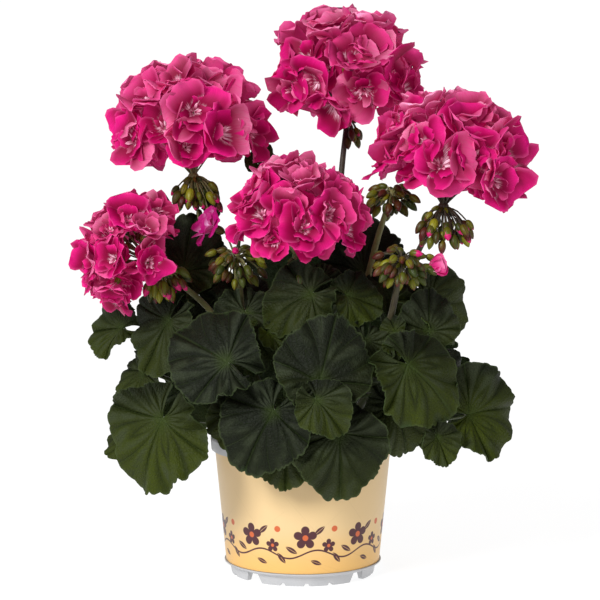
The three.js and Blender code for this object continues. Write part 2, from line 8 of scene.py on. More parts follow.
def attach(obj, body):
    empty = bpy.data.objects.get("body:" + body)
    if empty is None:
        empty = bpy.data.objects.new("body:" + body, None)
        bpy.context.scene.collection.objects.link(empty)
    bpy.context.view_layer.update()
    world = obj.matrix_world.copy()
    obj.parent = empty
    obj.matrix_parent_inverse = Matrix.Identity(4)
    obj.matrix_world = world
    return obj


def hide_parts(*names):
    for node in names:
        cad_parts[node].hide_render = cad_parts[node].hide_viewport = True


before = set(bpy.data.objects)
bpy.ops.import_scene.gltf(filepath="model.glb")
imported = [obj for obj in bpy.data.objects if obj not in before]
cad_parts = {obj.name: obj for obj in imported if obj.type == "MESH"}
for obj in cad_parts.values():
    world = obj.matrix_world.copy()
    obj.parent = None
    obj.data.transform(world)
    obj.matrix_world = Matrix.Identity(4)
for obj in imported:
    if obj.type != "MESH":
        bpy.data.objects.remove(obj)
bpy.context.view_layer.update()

bpy.ops.object.select_all(action="DESELECT")

# Studio: a white floor that runs into a white surround, one large soft light from the left and front with
# weak ones opposite and behind, and a camera 1.5 m away that looks a little down on the plant.

MM = 0.001
CAMERA_PLACE = Vector((-2, -1500, 350)) * MM
CAMERA_AIM = Vector((-2, 0, 197)) * MM
LENS = 126.17
PLANT_MIDDLE = Vector((0, 0, 220)) * MM
LIGHTS = {
    "key_light": ((-1.0, -1.4, 1.2), 36, 0.7),
    "fill_light": ((1.3, -1.2, 0.7), 4, 1.0),
    "rear_light": ((0.2, 1.2, 1.5), 6, 1.0),
}
SURROUND_LIGHT = 0.3
BACKDROP_LIGHT = 1.05
FLOOR_RADIUS = 1.4
FLOOR_SIDES = 96
FLOOR_GREY = 0.25
FLOOR_GLOW = 0.86


class Signal:
    """A socket in a material's node tree. Arithmetic on it adds Math nodes."""

    def __init__(self, tree, socket):
        self.tree = tree
        self.socket = socket

    def node(self, kind, settings=None, sockets=None, output=0):
        """Adds any other node: its type, its settings, then the values or links of its sockets."""
        made = self.tree.nodes.new("ShaderNode" + kind)
        for name, value in (settings or {}).items():
            setattr(made, name, value)
        for name, value in (sockets or {}).items():
            if isinstance(value, Signal):
                self.tree.links.new(value.socket, made.inputs[name])
            else:
                made.inputs[name].default_value = value
        return Signal(self.tree, made.outputs[output])

    def maths(self, operation, *values):
        return self.node("Math", {"operation": operation}, dict(enumerate(values)))

    def __add__(self, other):
        return self.maths("ADD", self, other)

    def __radd__(self, other):
        return self.maths("ADD", other, self)

    def __sub__(self, other):
        return self.maths("SUBTRACT", self, other)

    def __rsub__(self, other):
        return self.maths("SUBTRACT", other, self)

    def __mul__(self, other):
        return self.maths("MULTIPLY", self, other)

    def __rmul__(self, other):
        return self.maths("MULTIPLY", other, self)

    def __truediv__(self, other):
        return self.maths("DIVIDE", self, other)

    def __pow__(self, other):
        return self.maths("POWER", self, other)

    def of(self, operation, *others):
        """One of the other Math operations, such as SINE, on this value."""
        return self.maths(operation, self, *others)

    def step(self, start, end):
        """A smooth step from 0 at start to 1 at end."""
        settings = {"interpolation_type": "SMOOTHSTEP"}
        sockets = {"Value": self, "From Min": start, "From Max": end, "To Min": 0, "To Max": 1}
        if start > end:
            sockets |= {"From Min": end, "From Max": start, "To Min": 1, "To Max": 0}
        return self.node("MapRange", settings, sockets)

    def between(self, low, high):
        """The colour that lies this far between two others."""
        colours = [Vector((*c, 1)) if isinstance(c, tuple) else c for c in (low, high)]
        sockets = {0: self, 6: colours[0], 7: colours[1]}
        return self.node("Mix", {"data_type": "RGBA"}, sockets, 2)

    def grain(self, scale, detail=2, roughness=0.5):
        """Noise of this scale, where this socket is a place."""
        sockets = {"Vector": self, "Scale": scale, "Detail": detail, "Roughness": roughness}
        return self.node("TexNoise", None, sockets)

    def attribute(self, name):
        """The value that the corners carry under this name."""
        return self.node("Attribute", {"attribute_name": name}, output=2)

    def map_axes(self, name):
        """The map of this name and its two axes."""
        whole = self.node("UVMap", {"uv_map": name})
        first = whole.node("SeparateXYZ", None, {0: whole})
        return whole, first, Signal(self.tree, first.socket.node.outputs[1])

    def bump(self, strength, distance):
        """A normal from this height."""
        return self.node("Bump", None, {"Strength": strength, "Distance": distance, "Height": self})


def finish(name, **values):
    """A new material with even values on its shader. Returns it, its shader and its Object coordinates."""
    material = bpy.data.materials.new(name)
    material.use_nodes = True
    shader = material.node_tree.nodes["Principled BSDF"]
    for socket, value in values.items():
        shader.inputs[socket.replace("_", " ")].default_value = value
    place = Signal(material.node_tree, None).node("TexCoord", output=3)
    return material, shader, place


def paint(shader, **links):
    """Feeds the shader's sockets with what changes over the surface."""
    for socket, signal in links.items():
        signal.tree.links.new(signal.socket, shader.inputs[socket.replace("_", " ")])


def look_at(thing, place, aim):
    """Puts a camera or a light at a place and turns it to its aim."""
    thing.location = place
    thing.rotation_euler = (aim - place).to_track_quat("-Z", "Y").to_euler()


bpy.ops.object.camera_add()
camera = bpy.context.object
look_at(camera, CAMERA_PLACE, CAMERA_AIM)
camera.data.lens = LENS
bpy.context.scene.camera = camera
bpy.context.scene.view_settings.view_transform = "Standard"

for light_name, (light_place, energy, size) in LIGHTS.items():
    bpy.ops.object.light_add(type="AREA")
    light = bpy.context.object
    light.name = light_name
    light.data.energy = energy
    light.data.size = size
    look_at(light, Vector(light_place), PLANT_MIDDLE)

surround = bpy.data.worlds.new("surround")
surround.use_nodes = True
bpy.context.scene.world = surround
surround_paint = Signal(surround.node_tree, None)
seen = surround_paint.node("LightPath")
backdrop = surround.node_tree.nodes["Background"]
backdrop.inputs["Color"].default_value = (1, 1, 1, 1)
paint(backdrop, Strength=SURROUND_LIGHT + (BACKDROP_LIGHT - SURROUND_LIGHT) * seen)

bpy.ops.mesh.primitive_circle_add(vertices=FLOOR_SIDES, radius=FLOOR_RADIUS, fill_type="NGON")
floor = bpy.context.object
floor.name = "floor"
floor_paint = finish(
    "floor_white", Roughness=0.9, Base_Color=(FLOOR_GREY, FLOOR_GREY, FLOOR_GREY, 1),
    Emission_Color=(1, 1, 1, 1), Emission_Strength=FLOOR_GLOW,
)[0]
floor.data.materials.append(floor_paint)

# Pot: one injection moulding of light grey polypropylene, with a rolled rim, a tapered wall, a ledge for
# the sleeve and a foot ring that is notched so that water drains away under it.

POT_HEIGHT = 99
RIM_SKIRT = 9
LEDGE_Z = 9.5
WALL_FOOT_R = 54.6
WALL_TOP_R = 62.4
POT_SIDES = 160
POT_EDGE = 0.5
FOOT_RING = (43.5, 57.5)
FIRST_NOTCH = 3
NOTCH_STEP = 19
DRAIN_R = 3.5
DRAIN_PLACE = (34, 5.75)
POT_RINGS = [
    (47.5, 5), (47.5, 0), (51.5, 0), (52.7, 6.5), (56.6, 8.7), (56.6, 9.5), (54.6, 9.5), (62.4, 90),
    (65.9, 90), (66.5, 98), (65.5, 99), (61.8, 99), (61.1, 88), (52.8, 6.5),
]
WIDE_NOTCH = [(-7.5, -1), (7.5, -1), (4.5, 6.8), (-4.5, 6.8)]
SMALL_NOTCH = [(-2.4, -1), (2.4, -1), (1.2, 1.9), (-1.2, 1.9)]
WELD = 1e-6


def pick(*pieces):
    """Selects only these pieces and makes the first of them active."""
    bpy.ops.object.select_all(action="DESELECT")
    for piece in pieces:
        piece.select_set(True)
    bpy.context.view_layer.objects.active = pieces[0]


def edit(piece, action):
    pick(piece)
    bpy.ops.object.mode_set(mode="EDIT")
    bpy.ops.mesh.select_all(action="SELECT")
    action()
    bpy.ops.object.mode_set(mode="OBJECT")


def outward():
    bpy.ops.mesh.remove_doubles(threshold=WELD)
    bpy.ops.mesh.normals_make_consistent(inside=False)


def ring_stack(name, rings, sides, filled=True):
    """A turned shape: a circle extruded from ring to ring, given by radius and height."""
    bpy.ops.object.select_all(action="DESELECT")
    radius, height = rings[0]
    bpy.ops.mesh.primitive_circle_add(vertices=sides, radius=radius * MM, location=(0, 0, height * MM))
    bpy.ops.object.transform_apply()
    bpy.ops.object.mode_set(mode="EDIT")
    bpy.ops.mesh.select_all(action="SELECT")
    if filled:
        bpy.ops.mesh.edge_face_add()
        bpy.ops.mesh.extrude_region_move()
    for (radius, height), (next_radius, next_height) in zip(rings, rings[1:]):
        if not (filled and radius == rings[0][0] and height == rings[0][1]):
            bpy.ops.mesh.extrude_region_move()
        bpy.ops.transform.translate(value=(0, 0, (next_height - height) * MM))
        grow = next_radius / radius
        bpy.ops.transform.resize(value=(grow, grow, 1), center_override=(0, 0, next_height * MM))
    bpy.ops.object.mode_set(mode="OBJECT")
    piece = bpy.context.object
    piece.name = name
    edit(piece, outward)
    return piece


def apply_modifier(piece, kind, **settings):
    pick(piece)
    modifier = piece.modifiers.new(kind.lower(), kind)
    for name, value in settings.items():
        setattr(modifier, name, value)
    bpy.ops.object.modifier_apply(modifier=modifier.name)


def smooth(piece, degrees=40):
    pick(piece)
    bpy.ops.object.shade_smooth_by_angle(angle=math.radians(degrees))


def fit(piece, material, slot, *nodes):
    """The piece gets its material, stands for these solids and stays with the part."""
    piece.data.materials.append(material)
    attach(piece, "root")
    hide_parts(*nodes)


def notch(outline, turn):
    """A tool that cuts one notch through the foot ring, turned round the pot by so many degrees."""
    bpy.ops.mesh.primitive_cube_add(size=1)
    tool = bpy.context.object
    for corner in tool.data.vertices:
        index = (0 if corner.co.z < 0 else 3) if corner.co.x < 0 else (1 if corner.co.z < 0 else 2)
        x, z = outline[index]
        corner.co = Vector((x, -FOOT_RING[0] if corner.co.y > 0 else -FOOT_RING[1], z)) * MM
    tool.rotation_euler.z = math.radians(turn)
    return tool


def drain(turn):
    bpy.ops.mesh.primitive_cylinder_add(vertices=24, radius=DRAIN_R * MM, depth=4 * MM)
    tool = bpy.context.object
    angle = math.radians(turn)
    reach, height = DRAIN_PLACE
    tool.location = Vector((reach * math.sin(angle), -reach * math.cos(angle), height)) * MM
    return tool


pot = ring_stack("moulded_pot", POT_RINGS, POT_SIDES)
tools = []
for quarter in range(4):
    middle = FIRST_NOTCH + 90 * quarter
    tools.append(notch(WIDE_NOTCH, middle + 45))
    tools += [notch(SMALL_NOTCH, middle + step) for step in (-NOTCH_STEP, 0, NOTCH_STEP)]
    tools.append(drain(middle))
pick(*tools)
bpy.ops.object.join()
bpy.ops.object.transform_apply()
edit(tools[0], outward)
apply_modifier(pot, "BOOLEAN", object=tools[0], operation="DIFFERENCE", solver="MANIFOLD")
bpy.data.objects.remove(tools[0])
apply_modifier(
    pot, "BEVEL", width=POT_EDGE * MM, segments=3, limit_method="ANGLE", angle_limit=math.radians(35)
)
smooth(pot)
pot_grey, pot_shader, pot_place = finish("pot_grey", Roughness=0.42)
mottle = pot_place.grain(60, 3)
paint(
    pot_shader,
    Base_Color=mottle.between((0.44, 0.445, 0.46), (0.54, 0.54, 0.55)),
    Roughness=0.36 + 0.14 * mottle,
    Normal=pot_place.grain(900, 2).bump(0.15, 0.0004),
)
pot.data.materials.clear()
fit(pot, pot_grey, "pot", "pot")

# Sleeve: a printed film wrapped round the wall, standing on the ledge. Its print runs from cream to gold
# and has a frieze of plain five-petalled blossoms and leaves on a wavy stem, in maroon and orange.

FILM = 0.6
GAP = 0.3
SLEEVE_LOW = LEDGE_Z + GAP
SLEEVE_HIGH = POT_HEIGHT - RIM_SKIRT - GAP
BLOSSOMS = 9
SPACING = 41
VINE_Z = 24
VINE_SWING = 3
PRINTED_LEAVES = [(4, 41, 5, 40), (17.5, 21, 5, -50), (-16, 27, 5, 150), (2, 18, 4.5, -20)]
DOT_PLACE = (15, 42)
DOT_R = 2.2
MAP_HEIGHT = 100


def wall_radius(height):
    share = (height - LEDGE_Z) / (POT_HEIGHT - RIM_SKIRT - LEDGE_Z)
    return WALL_FOOT_R + share * (WALL_TOP_R - WALL_FOOT_R)


sleeve_rings = [(wall_radius(z) + GAP + FILM / 2, z) for z in np.linspace(SLEEVE_LOW, SLEEVE_HIGH, 9)]
sleeve = ring_stack("printed_sleeve", sleeve_rings, POT_SIDES, filled=False)
sleeve_map = sleeve.data.uv_layers.new(name="sleeve_map")
for face in sleeve.data.polygons:
    turns = []
    for loop in face.loop_indices:
        corner = sleeve.data.vertices[sleeve.data.loops[loop].vertex_index].co
        turns.append(math.atan2(corner.x, -corner.y) / (2 * math.pi) % 1)
    for loop, turn in zip(face.loop_indices, turns):
        height = sleeve.data.vertices[sleeve.data.loops[loop].vertex_index].co.z
        sleeve_map.data[loop].uv = (turn + (1 if max(turns) - turn > 0.5 else 0), height / MM / MAP_HEIGHT)
apply_modifier(sleeve, "SOLIDIFY", thickness=FILM * MM, offset=0)
smooth(sleeve)
sleeve_print, sleeve_shader, sleeve_place = finish("sleeve_print", Roughness=0.38)
_, turn_share, height_share = sleeve_place.map_axes("sleeve_map")
print_height = height_share * MAP_HEIGHT
across = ((turn_share * BLOSSOMS + 0.31).of("FRACT") - 0.5) * SPACING
wave_angle = turn_share * (BLOSSOMS * 2 * math.pi)
stem_line = (print_height - VINE_Z - VINE_SWING * wave_angle.of("SINE")).of("ABSOLUTE").step(0.75, 0.45)


def blossom(x, z, size):
    """How far a place is inside a five-petalled blossom, and inside its eye."""
    dx, dz = across - x, print_height - z
    far = (dx * dx + dz * dz).of("SQRT")
    turn = dz.of("ARCTAN2", dx) + 0.3
    edge = size * (0.45 + 0.55 * (turn * 2.5).of("SINE").of("ABSOLUTE") ** 0.6)
    return (far - edge).step(0.25, -0.25), (far - 0.24 * size).step(0.2, -0.2)


def printed_leaf(x, z, length, tilt):
    """How far a place is inside a pointed leaf that leans by so many degrees."""
    cos, sin = math.cos(math.radians(tilt)), math.sin(math.radians(tilt))
    dx, dz = across - x, print_height - z
    along = (dx * cos + dz * sin) / length
    aside = (dz * cos - dx * sin) / length
    half = 0.36 * (1 - (along * along)).of("MAXIMUM", 0)
    rib = aside.of("ABSOLUTE").step(0.02, 0.05)
    return (aside.of("ABSOLUTE") - half).step(0.03, -0.03) * (0.35 + 0.65 * rib)


large_bloom, large_eye = blossom(-6, 36, 8.5)
small_bloom, small_eye = blossom(11, 30, 5)
maroon = stem_line.of("MAXIMUM", large_bloom).of("MAXIMUM", small_bloom)
for leaf in PRINTED_LEAVES:
    maroon = maroon.of("MAXIMUM", printed_leaf(*leaf))
dot_x, dot_z = DOT_PLACE
dot = (((across - dot_x) ** 2 + (print_height - dot_z) ** 2).of("SQRT") - DOT_R).step(0.2, -0.2)
orange = large_eye.of("MAXIMUM", small_eye).of("MAXIMUM", dot)
cream_to_gold = print_height.step(46, 10).between((0.78, 0.56, 0.29), (0.83, 0.47, 0.125))
cloud = sleeve_place.grain(14, 2)
ground = (0.25 * cloud).between(cream_to_gold, (0.82, 0.55, 0.23))
sleeve_ink = maroon.between(ground, (0.07, 0.012, 0.018))
paint(
    sleeve_shader,
    Base_Color=orange.between(sleeve_ink, (0.62, 0.12, 0.03)),
    Roughness=0.34 + 0.1 * cloud,
    Normal=sleeve_place.grain(35, 2).bump(0.12, 0.002),
)
fit(sleeve, sleeve_print, "label", "label")

# Soil: a root ball of dark peat with crumbs and a little white perlite, pressed into the pot by hand. It
# fills the pot from its floor to a low dome under the rim.

SOIL_Z = 86
SOIL_FOOT = (51, 7)
SOIL_DOME = 2.2
SOIL_SIDES = 150
SOIL_RINGS = 44
SOIL_INSET = 1.9
CRUMBS = [(2.2, 0.16), (1.3, 0.45), (0.5, 1.1)]
soil_radius = wall_radius(SOIL_Z) - SOIL_INSET
soil_rings = [SOIL_FOOT, (soil_radius - 0.6, SOIL_Z - 3)]
for radius in np.linspace(soil_radius, 1, SOIL_RINGS):
    soil_rings.append((radius, SOIL_Z + SOIL_DOME * (1 - radius / soil_radius)))
soil = ring_stack("peat", soil_rings, SOIL_SIDES)
for corner in soil.data.vertices:
    if corner.co.z > (SOIL_Z - 1) * MM:
        near = corner.co / MM
        inside = min(1, (soil_radius - math.hypot(near.x, near.y)) / 4)
        crumb = sum(height * noise.noise(near * scale) for height, scale in CRUMBS)
        corner.co.z += crumb * inside * MM
smooth(soil, 70)
peat, peat_shader, peat_place = finish("peat", Roughness=0.95)
crumbs = peat_place.grain(260, 5, 0.65)
perlite = peat_place.node("TexVoronoi", None, {"Vector": peat_place, "Scale": 210}).step(0.24, 0.16)
sparse = peat_place.grain(70).step(0.6, 0.63)
peat_colour = crumbs.step(0.35, 0.75).between((0.008, 0.005, 0.003), (0.07, 0.045, 0.028))
paint(
    peat_shader,
    Base_Color=(perlite * sparse).between(peat_colour, (0.6, 0.58, 0.52)),
    Normal=crumbs.bump(0.9, 0.002),
)
fit(soil, peat, "soil", "soil")

# Shoots: the short brown base of the plant, its eight branches with swollen joints, and a thin leafy sprig.
# They are soft wood, green with brown tints, and covered in short hairs.

CROWN = (0, 0, SOIL_Z + 9)
SHOOTS = {
    "front_left": [CROWN, (-18, -14, 106), (-38, -24, 142), (-43, -26, 190)],
    "front_right": [CROWN, (20, -16, 108), (46, -32, 145), (58, -44, 180)],
    "front": [CROWN, (2, -22, 112), (0, -34, 150), (-3, -36, 192)],
    "back_left": [CROWN, (-20, 18, 110), (-44, 24, 160), (-58, 18, 222)],
    "back_right": [CROWN, (12, 22, 112), (24, 38, 160), (26, 36, 222)],
    "left": [CROWN, (-26, 2, 104), (-50, -10, 135), (-58, -20, 160)],
    "right": [CROWN, (26, 6, 104), (54, 4, 140), (72, -8, 188)],
    "middle": [CROWN, (14, 8, 108), (30, 14, 150), (44, 16, 200)],
}
SPRIG = [(-50, 22, 196), (-46, 25, 240), (-37, 25, 275), (-29, 25, 301)]
STEM_BASE = [(58, 4.8), (80, 5.2), (90, 5.4), (99, 4.6)]
SHOOT_R = 3.4
SHOOT_STEPS = 24
SHOOT_JOINTS = 4
SPRIG_R = 1.6
SPRIG_STEPS = 16
WOODY_Z = 150


def curve_point(points, share):
    """A place on the smooth curve through the points, where its spans take equal shares."""
    ends = [2 * points[0] - points[1], *points, 2 * points[-1] - points[-2]]
    spans = len(points) - 1
    span = min(int(share * spans), spans - 1)
    t = share * spans - span
    a, b, c, d = ends[span : span + 4]
    return b + 0.5 * t * (c - a + t * (2 * a - 5 * b + 4 * c - d + t * (3 * (b - c) + d - a)))


def smooth_path(points, steps):
    points = [np.array(point, float) for point in points]
    return [curve_point(points, i / steps) for i in range(steps + 1)]


def grown(name, strands, sides=2):
    """Round stems drawn as curves: each strand is a list of places and their radii, in millimetres."""
    drawn = bpy.data.curves.new(name, "CURVE")
    drawn.dimensions = "3D"
    drawn.bevel_depth = MM
    drawn.bevel_resolution = sides
    drawn.use_fill_caps = True
    for places, radii in strands:
        strand = drawn.splines.new("POLY")
        strand.points.add(len(places) - 1)
        for point, place, radius in zip(strand.points, places, radii):
            point.co = (*(np.array(place) * MM), 1)
            point.radius = radius
    piece = bpy.data.objects.new(name, drawn)
    bpy.context.scene.collection.objects.link(piece)
    pick(piece)
    bpy.ops.object.convert(target="MESH")
    piece = bpy.context.object
    edit(piece, outward)
    smooth(piece, 60)
    return piece


def mark(piece, name, values):
    """Writes a value for each corner, or one for all, that the piece's material reads."""
    attribute = piece.data.attributes.new(name, "FLOAT", "POINT")
    spread = np.broadcast_to(np.float32(values), len(piece.data.vertices))
    attribute.data.foreach_set("value", spread.copy())


def stem_skin(name, young, ruddy):
    """Hairy green skin that is red-brown where the ruddy attribute and the grain say so."""
    material, shader, place = finish(name, Roughness=0.55, Sheen_Weight=0.25, Sheen_Roughness=0.4)
    redness = place.attribute("ruddy")
    mixed = (redness + 0.5 * (place.grain(180, 3) - 0.5)).step(0, 1).between(young, ruddy)
    paint(
        shader,
        Base_Color=(0.35 * place.grain(40)).between(mixed, (0.02, 0.025, 0.01)),
        Normal=place.grain(1800, 2).bump(0.35, 0.0006),
    )
    return material


shoot_strands = [([(0, 0, height) for height, _ in STEM_BASE], [radius for _, radius in STEM_BASE])]
for route in SHOOTS.values():
    radii = []
    for i in range(SHOOT_STEPS + 1):
        joint = 0.16 * math.cos(2 * math.pi * i * SHOOT_JOINTS / SHOOT_STEPS) ** 6
        radii.append(SHOOT_R * (1.12 - 0.25 * i / SHOOT_STEPS) * (1 + joint))
    shoot_strands.append((smooth_path(route, SHOOT_STEPS), radii))
sprig_radii = [SPRIG_R - 0.03 * i for i in range(SPRIG_STEPS + 1)]
shoot_strands.append((smooth_path(SPRIG, SPRIG_STEPS), sprig_radii))
shoots = grown("shoots", shoot_strands, 4)
heights = np.array([corner.co.z for corner in shoots.data.vertices]) / MM
mark(shoots, "ruddy", np.clip((WOODY_Z - heights) / 60, 0.1, 0.95))
green_skin = stem_skin("stem_skin", (0.055, 0.085, 0.015), (0.05, 0.026, 0.014))
fit(shoots, green_skin, "stems", "stems")

# Leaves: kidney-shaped blades with toothed, waved rims and spreading veins, on petioles from the nearest
# shoot, and small young ones. A line gives the junction, where the blade looks (degrees round to the right,
# degrees up), its turn, its size, its fold along the midrib and its paleness.

LEAVES = [
    ((-96, -75, 123), (-25, 12), -22, 38, 0.12, 0.6),
    ((-51, -91, 164), (-14, 22), -118, 34, 0, 0.05),
    ((11, -98, 151), (2, 10), 165, 33, 0.05, 0.25),
    ((9, -109, 141.5), (5, 16), 40, 20, 0.2, 0.45),
    ((-20, -92, 131), (-10, 18), -28, 32, 0.05, 0.1),
    ((24, -88.5, 116), (8, 10), 4, 33, 0.1, 0.25),
    ((-12, -82, 109), (-5, 8), 0, 24, 0.1, 0.3),
    ((-47, -56, 125), (-20, 10), -5, 20, 0.2, 0.5),
    ((62, -64, 132), (22, 8), 25, 28, 0.1, 0.4),
    ((71, -86, 162), (25, 20), 48, 34, -0.2, 0.5),
    ((87, -52, 180), (15, 12), 172, 22, 0.1, 0.35),
    ((88, -30, 202), (40, 20), 60, 31, 0.1, 0.6),
    ((115, -50, 122), (30, 15), 95, 34, 0.15, 0.85),
    ((98, -37, 149), (50, 25), 60, 24, 0, 0.35),
    ((92, -72, 110), (20, 20), 20, 15, 0.4, 0.5),
    ((6, -62, 208), (-10, 30), -60, 27, 0.1, 0.35),
    ((30, -56, 206), (20, 30), 70, 20, 0.2, 0.5),
    ((-130, 6, 176), (-40, 30), -85, 24, 0.35, 0.5),
    ((-113, -8, 147), (-50, 20), -10, 25, 0.1, 0.5),
    ((-94, -30, 186), (-36, 15), -30, 31, 0.1, 0.35),
    ((-85, 1, 217), (-15, 10), 178, 31, 0.1, 0.4),
    ((44, 22, 215), (10, 10), 178, 30, 0.1, 0.1),
    ((-40, -44, 193), (-10, 30), 10, 29, 0.1, 0.3),
    ((-90, 11, 177), (-20, 5), 178, 21, 0.1, 0.3),
    ((-118, -45, 108), (-40, 15), -90, 20, 0.5, 0.5),
    ((43, -62, 176), (15, 25), -10, 20, 0.1, 0.35),
    ((55, -24, 211), (20, 35), 30, 17, 0.1, 0.3),
    ((73, 73, 130), (135, 12), 0, 36, 0.1, 0.3),
    ((18, 93, 128), (170, 12), 0, 33, 0.05, 0.4),
    ((-42, 95, 126), (205, 12), 5, 35, 0.1, 0.25),
    ((-86, 48, 128), (240, 12), 0, 34, 0.1, 0.5),
    ((114, 24, 135), (95, 12), 5, 35, 0.1, 0.4),
    ((-112, 5, 110), (-85, 12), 0, 30, 0.1, 0.4),
    ((40, 68, 186), (150, 28), 0, 33, 0.1, 0.3),
    ((-14, 76, 184), (185, 28), 10, 33, 0.1, 0.35),
    ((-45, 0, 180), (-8, 8), 175, 27, 0.1, 0.3),
    ((86, 41, 185), (115, 28), 0, 33, 0.1, 0.2),
    ((-6, 41, 227), (185, 45), 0, 31, 0.1, 0.4),
]
SPRIG_LEAVES = [
    ((-29, 25, 301), (10, 30), 150, 7, 0.2, 0.8),
    ((-27, 25, 297), (30, 40), 95, 8, 0.2, 0.8),
    ((-33, 25, 294), (-20, 10), -120, 8, 0.2, 0.8),
]
STALK_LEAVES = [
    ((-71, 18, 270), (40, 25), 95, 8, 0.2, 0.6),
    ((-75, 18, 274), (-20, 30), 170, 7, 0.2, 0.6),
    ((-68, 19, 262), (25, 20), 60, 7, 0.2, 0.8),
]
YOUNG_LEAVES = [
    ((-24, -62, 181), (10, 35), 35, 10, 0.5, 1.0),
    ((-36, -60, 186), (-30, 50), -60, 8, 0.4, 0.8),
    ((64, -56, 181), (-15, 20), -150, 9, 0.4, 0.7),
    ((60, -58, 171), (20, 40), 20, 8, 0.5, 0.7),
    ((13, -44, 217), (5, 15), 0, 16, 0.2, 0.3),
    ((82, -8, 205), (15, 20), 0, 16, 0.2, 0.3),
    ((68, -34, 158), (10, 15), 180, 12, 0.2, 0.3),
    ((89, -40, 110), (20, 10), 10, 13, 0.2, 0.4),
    ((-75, 8, 202), (-10, 15), 180, 19, 0.1, 0.3),
]
DETOURS = {15: (96, -42, 117)}
BLADE = 0.7
BLADE_GRID = (154, 9)
YOUNG_GRID = (66, 6)
TIP_GRID = (60, 6)
SINUS = 2.75
TEETH = 24
TOOTH_DEPTH = 0.048
LOBE_DEPTH = 0.05
WAVE = 0.14
RUFFLE = 0.085
MAIN_PLEAT = 0.12
FORK_PLEAT = 0.075
LOBE = 2 * math.pi / 5
NECK = 12
PETIOLE_R = 1.5
PETIOLE_STEPS = 15


def leaf_frame(faces, tip):
    """Where a blade looks, where its tip points, and its side."""
    a, e, t = (math.radians(value) for value in (*faces, tip))
    face = np.array([math.sin(a) * math.cos(e), -math.cos(a) * math.cos(e), math.sin(e)])
    right = np.array([math.cos(a), math.sin(a), 0])
    forward = right * math.sin(t) - np.cross(face, right) * math.cos(t)
    return face, forward, np.cross(face, forward)


def read_corners(mesh):
    corners = np.empty(3 * len(mesh.vertices))
    mesh.vertices.foreach_get("co", corners)
    return corners.reshape(-1, 3)


def write_corners(mesh, corners):
    mesh.vertices.foreach_set("co", np.ascontiguousarray(corners, dtype=np.float32).ravel())
    mesh.update()


def leaf_blade(name, leaf, grid):
    """A flat grid whose sides become the rim's two ends, bent into a blade, then given its thickness."""
    at, faces, tip, size, fold, _ = leaf
    face, forward, side = leaf_frame(faces, tip)
    bpy.ops.object.select_all(action="DESELECT")
    bpy.ops.mesh.primitive_grid_add(x_subdivisions=grid[0], y_subdivisions=grid[1], size=2)
    blade = bpy.context.object
    blade.name = name
    corners = read_corners(blade.data)
    turned, share = SINUS * corners[:, 0], (corners[:, 1] + 1) / 2
    angle = turned * (1 + 0.09 * share)
    shift = 0.38 * size
    reach = shift * np.cos(angle) + np.sqrt(size**2 - (shift * np.sin(angle)) ** 2)
    start = 0.05 * (at[0] + 2 * at[1] + 3 * at[2])
    reach *= 1 + LOBE_DEPTH * np.cos(5 * turned) + 0.02 * np.sin(2 * turned + 3 * start)
    teeth = TEETH * turned + 1.8 * np.sin(4 * turned + start) + 0.9 * np.sin(9 * turned)
    teeth = np.abs(np.sin(teeth)) ** 0.55
    depth = TOOTH_DEPTH + 0.02 * np.sin(3 * turned + 2 * start) + 0.012 * np.sin(11 * turned + start)
    reach *= 1 + (depth * (teeth - 0.7) + 0.018 * np.cos(15 * turned + start)) * share**5
    reach *= share
    along, aside = reach * np.cos(angle), reach * np.sin(angle)
    wave = WAVE * size * share**2 * np.sin(3 * angle + start)
    wave += 0.05 * size * share * np.sin(4 * share + 2 * turned + 2 * start)
    ruffle = RUFFLE * size * share**3.5 * np.sin(8 * turned + 1.5 * np.sin(3 * turned + start))
    ruffle += 0.018 * size * share**5 * np.sin(21 * turned + 2 * start)
    half_lobe = np.abs((turned / LOBE + 0.5) % 1 - 0.5) * LOBE
    fanned = half_lobe / (0.35 + 0.65 * share)
    pleat = MAIN_PLEAT * share * (np.abs(np.sin(2.5 * turned)) - 0.6)
    pleat += FORK_PLEAT * share**1.3 * (np.abs(np.sin(7.5 * fanned)) - 0.5)
    twigs = 0.02 * share**2 * np.sin(15 * fanned) ** 2
    pleat += twigs + 0.04 * share**1.5 * np.sin(11 * turned + 2 * start)
    droop = (0.1 * reach**2 + 0.12 * np.maximum(along, 0) ** 2) / size
    height = fold * np.abs(aside) - droop + wave + ruffle + size * pleat
    places = np.array(at) + np.outer(along, forward) + np.outer(aside, side) + np.outer(height, face)
    write_corners(blade.data, places * MM)
    edit(blade, lambda: bpy.ops.mesh.remove_doubles(threshold=WELD))
    if blade.data.polygons[len(blade.data.polygons) // 2].normal.dot(Vector(face)) < 0:
        edit(blade, lambda: bpy.ops.mesh.flip_normals())
    apply_modifier(blade, "SOLIDIFY", thickness=BLADE * MM, offset=0)
    smooth(blade, 60)
    return blade


def shoot_start(junction):
    """The nearest place on a shoot that is not above the blade."""
    best, shortest = None, math.inf
    for route in SHOOTS.values():
        points = [np.array(point, float) for point in route]
        for step in range(4, 18):
            place = curve_point(points, step / 20)
            length = np.linalg.norm(place - junction) + 2 * max(0, place[2] + 12 - junction[2])
            if length < shortest:
                best, shortest = place, length
    return best


